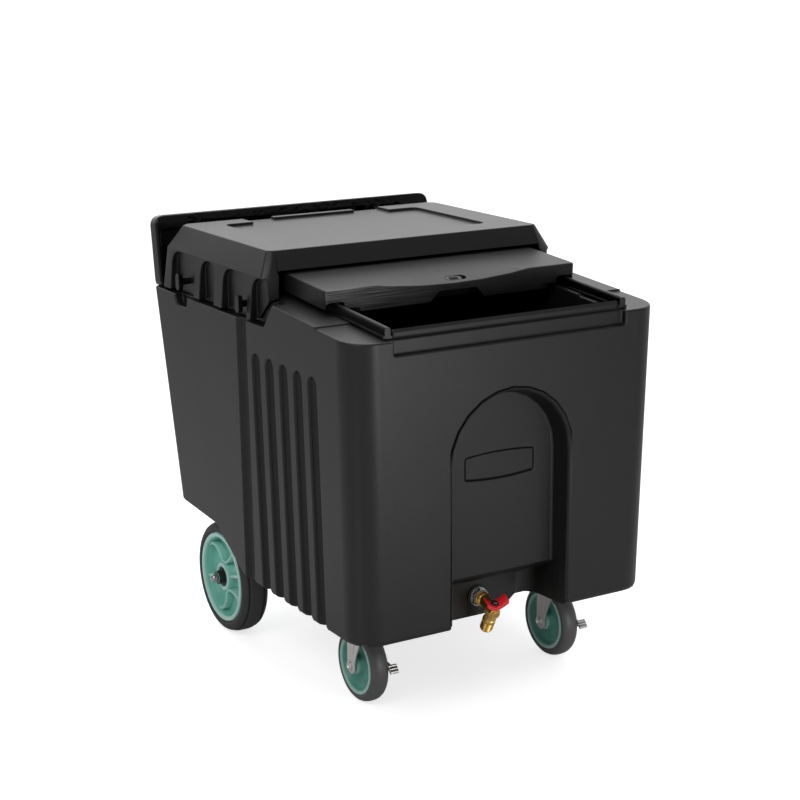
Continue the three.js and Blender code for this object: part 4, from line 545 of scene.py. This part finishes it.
# A copy of a CAD node with its vertices merged and its flat facets joined.
def copyOfNode(node, name):
    pickOnly(frame["nodes"][node])
    bpy.ops.object.duplicate()
    piece = bpy.context.object
    piece.name = name
    piece.data.name = name
    piece.parent = None
    for note in list(piece.keys()):
        del piece[note]
    bpy.ops.object.mode_set(mode="EDIT")
    bpy.ops.mesh.select_all(action="SELECT")
    bpy.ops.mesh.remove_doubles(threshold=meshSettings["nearestInCopy"] * mm)
    bpy.ops.mesh.dissolve_limited(angle_limit=math.radians(meshSettings["flatUnder"]))
    bpy.ops.object.mode_set(mode="OBJECT")
    return piece


slotOf = {row["node"]: row["material_slot"] for row in frame["record"]["subparts"]}
replaced = set()


# Hands a finished piece over: its body, finish and the node that it stands for.
def finishPiece(piece, node, slot=None):
    slot = slot or slotOf[node]
    kind = node.removesuffix("_left").removesuffix("_right")
    piece.data.materials.clear()
    piece.data.materials.append(variants.get(kind, finishes[slot]))
    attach(piece, frame["nodes"][node]["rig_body"])
    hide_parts(node)
    replaced.add(node)


# Starts a piece as a chain of vertices through the points, left in edit mode, all selected.
def drawChain(name, points):
    bpy.ops.object.select_all(action="DESELECT")
    bpy.ops.mesh.primitive_plane_add(size=mm)
    piece = bpy.context.object
    piece.name = name
    piece.data.name = name
    bpy.ops.object.mode_set(mode="EDIT")
    bpy.ops.mesh.select_all(action="SELECT")
    bpy.ops.mesh.merge(type="CENTER")
    bpy.ops.transform.translate(value=points[0])
    for before, after in zip(points, points[1:]):
        bpy.ops.mesh.extrude_vertices_move(TRANSFORM_OT_translate={"value": after - before})
    bpy.ops.mesh.select_all(action="SELECT")
    return piece


# Merges what lies together, drops loose ends, turns the faces out and leaves edit mode.
def closeShell():
    bpy.ops.mesh.select_all(action="SELECT")
    bpy.ops.mesh.remove_doubles(threshold=meshSettings["nearest"] * mm)
    bpy.ops.mesh.delete_loose()
    bpy.ops.mesh.select_all(action="SELECT")
    bpy.ops.mesh.normals_make_consistent(inside=False)
    bpy.ops.object.mode_set(mode="OBJECT")


# A piece turned about an axis: each profile point is (radius, place along the axis).
def turned(name, profile, centre, axis, steps=96):
    along = Vector(axis).normalized()
    across = along.orthogonal().normalized()
    points = [centre + along * (place * mm) + across * (radius * mm) for radius, place in profile]
    piece = drawChain(name, points)
    bpy.ops.mesh.spin(steps=steps, angle=math.tau, center=centre, axis=along)
    closeShell()
    return piece


# A profile given for one half of a wheel, with its other half mirrored and the loop closed.
def bothHalves(half):
    mirrored = [(radius, -place) for radius, place in reversed(half) if place > 0]
    return half + mirrored + half[:1]


# A tyre in the place of its node. Each point is how far it lies under the tread and how far
# inside the face.
def turnedTyre(name, node, points, axis, steps=96):
    low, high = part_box(node)
    radius = (high.z - low.z) / 2 / mm
    half = (high.x - low.x) / 2 / mm
    profile = bothHalves([(radius - depth, half - inset) for depth, inset in points])
    tyre = turned(name, profile, middleOf(node), axis, steps)
    shadeSmooth()
    return tyre


# A rib or bead: a chain of points raised by a vector, thickened and rounded.
def raisedRib(name, points, rise, thickness, rounding):
    piece = drawChain(name, points)
    bpy.ops.mesh.extrude_region_move(TRANSFORM_OT_translate={"value": rise})
    bpy.ops.mesh.select_all(action="SELECT")
    bpy.ops.mesh.normals_make_consistent(inside=False)
    bpy.ops.object.mode_set(mode="OBJECT")
    applyModifier(piece, "SOLIDIFY", thickness=thickness * mm, offset=0, use_even_offset=True)
    roundStrip(piece, rounding, sharperThan=50)
    return piece


# A plate cut to an outline and given its thickness, which is a vector.
def pressedPlate(name, outline, thickness):
    piece = drawChain(name, outline + outline[:1])
    bpy.ops.mesh.remove_doubles(threshold=meshSettings["nearest"] * mm)
    bpy.ops.mesh.edge_face_add()
    bpy.ops.mesh.extrude_region_move(TRANSFORM_OT_translate={"value": thickness})
    closeShell()
    return piece


# A hexagon prism along an axis, from one place on it to another.
def hexagon(name, across, start, end, centre, axis):
    along = Vector(axis).normalized()
    bpy.ops.object.select_all(action="DESELECT")
    bpy.ops.mesh.primitive_cylinder_add(
        vertices=6, radius=across * mm / math.sqrt(3), depth=(end - start) * mm,
        location=centre + along * ((start + end) / 2 * mm),
        rotation=along.to_track_quat("Z", "Y").to_euler())
    piece = bpy.context.object
    piece.name = name
    piece.data.name = name
    bpy.ops.object.transform_apply(location=True, rotation=True, scale=True)
    return piece


def joinPieces(pieces):
    pickOnly(pieces[0])
    for piece in pieces[1:]:
        piece.select_set(True)
    bpy.ops.object.join()
    return pieces[0]


def middleOf(node):
    low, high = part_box(node)
    return (Vector(low) + Vector(high)) / 2


# Points on a smooth curve through the given ones, with steps between each pair.
def smoothed(points, steps):
    ends = [points[0] * 2 - points[1]] + points + [points[-1] * 2 - points[-2]]
    result = []
    for a, b, c, d in zip(ends, ends[1:], ends[2:], ends[3:]):
        for k in range(steps):
            t = k / steps
            result.append(((b * 2) + (c - a) * t + (a * 2 - b * 5 + c * 4 - d) * t ** 2
                           + (b * 3 - a - c * 3 + d) * t ** 3) / 2)
    return result + [points[-1]]


# Points on an arc about the origin, one for each angle.
def arcPoints(radius, angles):
    return [(radius * math.cos(math.radians(a)), radius * math.sin(math.radians(a)))
            for a in angles]


sides = {"left": -1, "right": 1}


# Rear wheels. Tyre points lie under the tread and inside the face, hub points from the axle and
# from the wheel's middle. A wing's points are shares of the ribs' reach, with angles from the axis.
rearWheelSettings = {
    "tyre": [(0, 25), (0.3, 17), (0.9, 13.4), (1.8, 12.4), (5.2, 11.8), (5.4, 10), (2.6, 9),
             (2.8, 7.4), (4.6, 4), (6.4, 3.2), (7.6, 1.4), (11, 0), (15.5, 0.2), (17.4, 2.2),
             (19.1, 2.6)],
    "hub": [(9.8, 17), (17.2, 17), (18.2, 20.6), (19.6, 21.6), (23.4, 21.6), (25.2, 20.2),
            (26.8, 8), (30.5, 4.2), (65, 4), (69, 5), (70.8, 8.5), (72.2, 20.5), (73.2, 23.2),
            (75.6, 24.9), (79.8, 24.7), (81.4, 22.8), (82, 19)],
    "ribReach": 73.5, "ribFoot": 3.4, "ribTop": 18.4, "ribThickness": 5.6, "ribRounding": 2.2,
    "ribAxis": 15,
    "wing": [(1, 38), (0.9, 42), (0.74, 42), (0.56, 46), (0.43, 56), (0.37, 72), (0.42, 88),
             (0.58, 98), (0.78, 108), (0.93, 118), (1, 128)],
    "wingSteps": 3, "spokeStart": 0.33,
    "collarAcross": 23, "collarStart": 20, "collarEnd": 31, "collarRounding": 1.0,
    "flange": [(9.8, 17.2), (16, 17.2), (16.4, 19), (15, 21), (9.8, 21), (9.8, 17.2)],
    "nutAcross": 17, "nutEnd": 37, "nutRounding": 0.9,
    "dome": [(8.2, 36.5), (7.9, 38.5), (7, 41), (5, 43), (2.6, 43.9), (0, 44)],
    "wheelSteps": 128, "fittingSteps": 48,
}


def addRearWheel(side, sign, settings):
    centre = middleOf("rear_tyre_" + side)
    out = Vector((sign, 0, 0))
    tyre = turnedTyre("rear-tyre-" + side, "rear_tyre_" + side, settings["tyre"], out,
                      settings["wheelSteps"])
    finishPiece(tyre, "rear_tyre_" + side)

    foot = settings["ribFoot"]

    def spot(share, degrees):
        angle = math.radians(degrees + settings["ribAxis"])
        reach = share * settings["ribReach"]
        return centre + Vector((sign * foot, sign * reach * math.cos(angle),
                                reach * math.sin(angle))) * mm

    wings = [smoothed([spot(share, mirror * degrees) for share, degrees in settings["wing"]],
                      settings["wingSteps"]) for mirror in (1, -1)]
    spokes = [[spot(settings["spokeStart"], turn), spot(1, turn)] for turn in (0, 180)]
    rise = out * ((settings["ribTop"] - foot) * mm)
    parts = [turned("rear-hub-" + side, bothHalves(settings["hub"]), centre, out,
                    settings["wheelSteps"])]
    for points in wings + spokes:
        parts.append(raisedRib("rear-rib", points, rise, settings["ribThickness"],
                               settings["ribRounding"]))
    hub = joinPieces(parts)
    shadeSmooth()
    finishPiece(hub, "rear_hub_" + side)

    collar = joinPieces([
        hexagon("axle-collar-" + side, settings["collarAcross"], settings["collarStart"],
                settings["collarEnd"], centre, out),
        turned("collar-flange", settings["flange"], centre, out, settings["fittingSteps"])])
    softenEdges(collar, settings["collarRounding"])
    finishPiece(collar, "axle_washer_" + side, "seal")
    nut = hexagon("axle-nut-" + side, settings["nutAcross"], settings["collarEnd"],
                  settings["nutEnd"], centre, out)
    softenEdges(nut, settings["nutRounding"])
    dome = turned("nut-dome", settings["dome"], centre, out, settings["fittingSteps"])
    bpy.ops.object.shade_smooth()
    finishPiece(joinPieces([nut, dome]), "axle_nut_" + side)


# Casters. The leg's outline is (behind the axle, above it), from the top of its rear edge, round
# the eye and up its front. The bolt head's points and the pedal's ridge are shares of their sizes.
casterSettings = {
    "tyre": [(0, 16), (0.25, 11.5), (1.1, 7.5), (3.0, 3.9), (5.8, 1.3), (8.8, 0.2), (11, 0.5),
             (12.7, 1.4)],
    "hub": [(6.3, 18.3), (12.2, 18.3), (14.4, 17.8), (15.8, 16.2), (17.4, 8), (20.5, 5.4),
            (34, 4.6), (39, 5.6), (41.6, 8.6), (43.6, 13.4), (45, 15.3), (47.6, 16),
            (49.8, 15.4), (50.6, 13)],
    "legGap": 22.2, "legThickness": 3, "legRounding": 0.9,
    "legRear": [(-15, 73), (-6, 66), (3, 57), (7, 48), (8, 38)],
    "eyeForward": 4, "eyeRadius": 12, "eyeAngles": range(0, -166, -15),
    "legFront": [(-15.5, 8), (-22, 26), (-31, 44), (-42, 60), (-53, 73)],
    "bead": [(-21, 64), (-14, 46), (-8, 20)], "beadSteps": 4,
    "beadSunk": 0.5, "beadRise": 1.7, "beadWidth": 5, "beadRounding": 0.8,
    "crown": [(7.4, 143.2), (27, 143.2), (30.6, 142), (32, 139), (32, 134), (28.8, 134),
              (28.8, 139), (7.4, 139.8), (7.4, 143.2)],
    "swivelForward": 35,
    "headRadius": 7.8, "headHeight": 2.4, "headSunk": 0.2,
    "head": [(0, 0.3), (0.45, 0.3), (0.62, 1), (0.86, 1), (1, 0.7)],
    "shankRadius": 6, "shankPast": 1, "shankChamfer": 1, "boltSteps": 48,
    "nutAcross": 18, "nutThickness": 7, "nutRounding": 1.0,
    "armGap": 0.3, "armThickness": 2.6, "armRounding": 0.6,
    "armEye": 13, "armEyeAngles": range(110, -111, -20),
    "armReach": 53, "armHalfWidth": 5.5, "armNeck": 8, "armTop": 6, "armFoot": 2,
    "pedalForward": 62, "pedalRise": 5.5, "pedalTilt": 48, "pedalWidth": 15.5,
    "pedalLength": 15.5, "pedalThickness": 3.4, "pedalRounding": 0.5,
    "ridges": 3, "ridgeHeight": 0.9, "ridge": (0.2, 0.6, 0.75),
    "sharpOver": 35,
}


def addCaster(side, settings):
    centre = middleOf("caster_tyre_" + side)
    left = Vector((-1, 0, 0))
    right = Vector((1, 0, 0))
    tyre = turnedTyre("caster-tyre-" + side, "caster_tyre_" + side, settings["tyre"], left)
    finishPiece(tyre, "caster_tyre_" + side)
    hub = turned("caster-hub-" + side, bothHalves(settings["hub"]), centre, left)
    shadeSmooth()
    finishPiece(hub, "caster_hub_" + side)

    def spot(x, behind, above):
        return centre + Vector((x, behind, above)) * mm

    inner = settings["legGap"]
    outer = inner + settings["legThickness"]
    eye = [(along - settings["eyeForward"], up)
           for along, up in arcPoints(settings["eyeRadius"], settings["eyeAngles"])]
    outline = settings["legRear"] + eye + settings["legFront"]
    swivel = Vector((centre.x, centre.y - settings["swivelForward"] * mm, 0))
    parts = [turned("caster-fork-" + side, settings["crown"], swivel, (0, 0, 1))]
    for sign in (-1, 1):
        leg = pressedPlate("caster-leg", [spot(sign * inner, *point) for point in outline],
                           right * (sign * (outer - inner) * mm))
        softenEdges(leg, settings["legRounding"])
        beadFoot = sign * (outer - settings["beadSunk"])
        bead = raisedRib("caster-bead",
                         smoothed([spot(beadFoot, *point) for point in settings["bead"]],
                                  settings["beadSteps"]),
                         right * (sign * settings["beadRise"] * mm), settings["beadWidth"],
                         settings["beadRounding"])
        parts += [leg, bead]
    fork = joinPieces(parts)
    shadeSmooth(settings["sharpOver"])
    finishPiece(fork, "caster_fork_" + side)

    # the bolt's head is outside the left leg, and the brake's arm and the nut outside the right
    armStart = outer + settings["armGap"]
    armEnd = armStart + settings["armThickness"]
    nutStart = armEnd + settings["armGap"]
    nutEnd = nutStart + settings["nutThickness"]
    radius, height = settings["headRadius"], settings["headHeight"]
    shank, chamfer = settings["shankRadius"], settings["shankChamfer"]
    seat, tip = outer + settings["headSunk"], -nutEnd - settings["shankPast"]
    profile = [(radius * across, outer + height * up) for across, up in settings["head"]]
    profile += [(radius, seat), (shank, seat), (shank, tip), (shank - chamfer, tip - chamfer),
                (0, tip - chamfer)]
    bolt = turned("caster-bolt-" + side, profile, centre, left, settings["boltSteps"])
    shadeSmooth()
    finishPiece(bolt, "caster_bolt_" + side)
    nut = hexagon("caster-nut-" + side, settings["nutAcross"], nutStart, nutEnd, centre, right)
    softenEdges(nut, settings["nutRounding"])
    finishPiece(nut, "caster_nut_" + side)

    reach, width = settings["armReach"], settings["armHalfWidth"]
    neck = settings["armNeck"] - reach
    armOutline = [(-reach - settings["armTop"], width), (neck, width)]
    armOutline += arcPoints(settings["armEye"], settings["armEyeAngles"])
    armOutline += [(neck, -width), (-reach - settings["armFoot"], -width)]
    arm = pressedPlate("brake-lever-" + side, [spot(armStart, *point) for point in armOutline],
                       right * (settings["armThickness"] * mm))
    softenEdges(arm, settings["armRounding"])
    lever = joinPieces([arm, brakePedal(centre, armEnd, settings)])
    shadeSmooth(settings["sharpOver"])
    finishPiece(lever, "brake_lever_" + side)


# The pedal: a thick plate with ridges across its top, tilted down to the front.
def brakePedal(centre, armEnd, settings):
    length, thickness = settings["pedalLength"], settings["pedalThickness"]
    pitch = length / settings["ridges"]
    top = thickness + settings["ridgeHeight"]
    crestStart, crestEnd, foot = settings["ridge"]
    profile = [(-length / 2, 0), (length / 2, 0), (length / 2, thickness)]
    for k in range(settings["ridges"]):
        start = length / 2 - k * pitch
        profile += [(start - pitch * crestStart, top), (start - pitch * crestEnd, top),
                    (start - pitch * foot, thickness)]
    profile.append((-length / 2, thickness))
    tilt = math.radians(settings["pedalTilt"])
    place = Vector((armEnd, -settings["pedalForward"], settings["pedalRise"]))
    points = []
    for along, up in profile:
        tilted = Vector((0, along * math.cos(tilt) - up * math.sin(tilt),
                         along * math.sin(tilt) + up * math.cos(tilt)))
        points.append(centre + (place + tilted) * mm)
    pedal = pressedPlate("brake-pedal", points, Vector((-settings["pedalWidth"] * mm, 0, 0)))
    softenEdges(pedal, settings["pedalRounding"])
    return pedal


# Drain valve. Its flow points forward and down from the elbow, and its stem stands square to that.
valveSettings = {
    "tilt": 27, "collarLength": 7.5, "toStem": 27.5,
    "collar": [(8, 0), (11.6, 0), (12.6, 1), (12.6, 2.6), (11.2, 3.4), (11.2, 5.4), (12, 6.2),
               (12, 7.2), (10.4, 9.6), (8, 11)],
    "neck": [(0, -9), (6, -7.6), (9.2, -3), (10, 2), (10, 13), (10.8, 17), (11.4, 21),
             (11.4, 33.5), (10.6, 35.6), (9, 36.4), (0, 36.4)],
    "outlet": [(0, 0), (9.6, 0), (9.6, 15), (11.2, 17), (11.2, 22.5), (9.9, 23.6)],
    "threadTurns": 8, "threadPitch": 1.9, "threadCrest": 10.9, "threadRoot": 9.9,
    "threadShares": (0.4, 0.6, 1),
    "mouth": [(9.6, 41), (6.4, 41), (5.2, 39.4), (5.2, 20), (0, 20)],
    "bonnet": [(0, 4), (8.6, 4), (8.6, 11.4), (7.6, 12.4), (7.4, 14.3), (3.4, 14.3), (0, 14.3)],
    "bodyRounding": 0.35, "bodySteps": 64, "fittingSteps": 48,
    "hexAcross": 19.5, "hexStart": 25, "hexEnd": 32, "hexRounding": 1.0,
    "cap": [(0, 35.9), (8.2, 35.9), (8.6, 36.6), (8.6, 38.6), (7.9, 39.5), (6.4, 39.5),
            (5.9, 38.9), (0, 38.9)],
    "leverHub": [(0, 16.4), (7, 16.4), (7, 18.4), (6.2, 19.2), (0, 19.2)],
    "fittingRounding": 0.4,
    "screwAcross": 7.5, "screwStart": 19, "screwEnd": 22, "screwRounding": 0.8,
}


# The elbow's centre, the flow and the stem as directions, and the point where stem meets flow.
def valveAxes(settings):
    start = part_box("valve_body")[1].y
    elbow = Vector((0, start - settings["collarLength"] * mm, middleOf("drain_tube").z))
    tilt = math.radians(settings["tilt"])
    flow = Vector((0, -math.cos(tilt), -math.sin(tilt)))
    stem = Vector((0, -math.sin(tilt), math.cos(tilt)))
    return elbow, flow, stem, elbow + flow * (settings["toStem"] * mm)


def addValve(settings):
    elbow, flow, stem, stemFoot = valveAxes(settings)
    start = Vector((0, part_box("valve_body")[1].y, elbow.z))
    crest, root, pitch = settings["threadCrest"], settings["threadRoot"], settings["threadPitch"]
    crestStart, crestEnd, whole = settings["threadShares"]
    outlet = list(settings["outlet"])
    threadStart = outlet[-1][1]
    for k in range(settings["threadTurns"]):
        place = threadStart + pitch * k
        outlet += [(crest, place + pitch * crestStart), (crest, place + pitch * crestEnd),
                   (root, place + pitch * whole)]
    outlet += settings["mouth"]
    steps, fewer = settings["bodySteps"], settings["fittingSteps"]
    parts = [
        turned("valve-body", settings["collar"], start, (0, -1, 0), steps),
        turned("valve-neck", settings["neck"], elbow, flow, steps),
        turned("valve-outlet", outlet, stemFoot, -stem, steps),
        turned("valve-bonnet", settings["bonnet"], stemFoot, stem, fewer),
    ]
    for part in parts:
        softenTurned(part, settings["bodyRounding"])
    hexPart = hexagon("valve-hex", settings["hexAcross"], settings["hexStart"],
                      settings["hexEnd"], elbow, flow)
    softenEdges(hexPart, settings["hexRounding"])
    finishPiece(joinPieces(parts + [hexPart]), "valve_body")
    cap = turned("valve-cap", settings["cap"], elbow, flow, fewer)
    softenTurned(cap, settings["fittingRounding"])
    finishPiece(cap, "valve_cap")

    addLever(leverSettings, flow, stem, stemFoot)
    screw = hexagon("lever-screw", settings["screwAcross"], settings["screwStart"],
                    settings["screwEnd"], stemFoot, stem)
    softenEdges(screw, settings["screwRounding"])
    finishPiece(screw, "lever_screw")
    hub = turned("lever-hub", settings["leverHub"], stemFoot, stem, fewer)
    softenTurned(hub, settings["fittingRounding"])
    finishPiece(hub, "valve_lever", "seal")


# The butterfly handle: a strip whose ends rise, with both long edges pressed down as skirts.
# Along each half it rises as its share of the span to the power of curve.
leverSettings = {
    "halfSpan": 20.8, "rise": 11.5, "curve": 1.8, "halfWidth": 8, "start": 15.8, "steps": 16,
    "skirt": 5.6, "skirtOut": 1.2, "thickness": 2.4, "rounding": 0.9,
}


def addLever(settings, flow, stem, stemFoot):
    width = settings["halfWidth"]
    rearEdge = []
    for k in range(settings["steps"] + 1):
        share = 2 * k / settings["steps"] - 1
        height = settings["start"] + settings["rise"] * abs(share) ** settings["curve"]
        rearEdge.append(stemFoot + (Vector((share * settings["halfSpan"], 0, 0)) + stem * height
                                    - flow * width) * mm)
    piece = drawChain("valve-lever", rearEdge)
    across = flow * (2 * width * mm)
    down = (flow * settings["skirtOut"] - stem * settings["skirt"]) * mm
    bpy.ops.mesh.extrude_region_move(TRANSFORM_OT_translate={"value": across})
    bpy.ops.mesh.extrude_region_move(TRANSFORM_OT_translate={"value": down})
    bpy.ops.object.mode_set(mode="OBJECT")
    applyModifier(piece, "SOLIDIFY", thickness=settings["thickness"] * mm, offset=0,
                  use_even_offset=True)
    roundStrip(piece, settings["rounding"], sharperThan=40)
    shadeSmooth()
    finishPiece(piece, "valve_lever")


# Moulded and pressed pieces: each is its CAD form with the edge rounding that its process leaves.
roundings = {
    "tub_body": 3.0,
    "hood_cover": 1.6,
    "sliding_lid": 1.5,
    "push_handle": 4.0,
    "lid_latch": 0.5,
    "slide_rail_left": 0.8, "slide_rail_right": 0.8,
    "hood_knob_front_left": 0.8, "hood_knob_front_right": 0.8,
    "hood_knob_rear_left": 0.8, "hood_knob_rear_right": 0.8,
    "caster_plate_left": 0.6, "caster_plate_right": 0.6,
    "axle_bracket_left": 0.8, "axle_bracket_right": 0.8,
    "drain_shelf": 0.8,
}
smallRounding = 0.4


# Every node that no finer piece stands for is softened as it is.
def addMouldedPieces(done):
    for node in frame["nodes"]:
        if node in done:
            continue
        piece = copyOfNode(node, node.replace("_", "-"))
        softenEdges(piece, roundings.get(node, smallRounding))
        finishPiece(piece, node)
        print(node, "softened:", len(piece.data.polygons), "faces")


addCamera(cameraSettings)
addLights(lightSettings)
addRoom(roomSettings)
print("studio set")
for side, sign in sides.items():
    addRearWheel(side, sign, rearWheelSettings)
    addCaster(side, casterSettings)
print("wheels made")
addValve(valveSettings)
print("valve made")
addMouldedPieces(replaced)
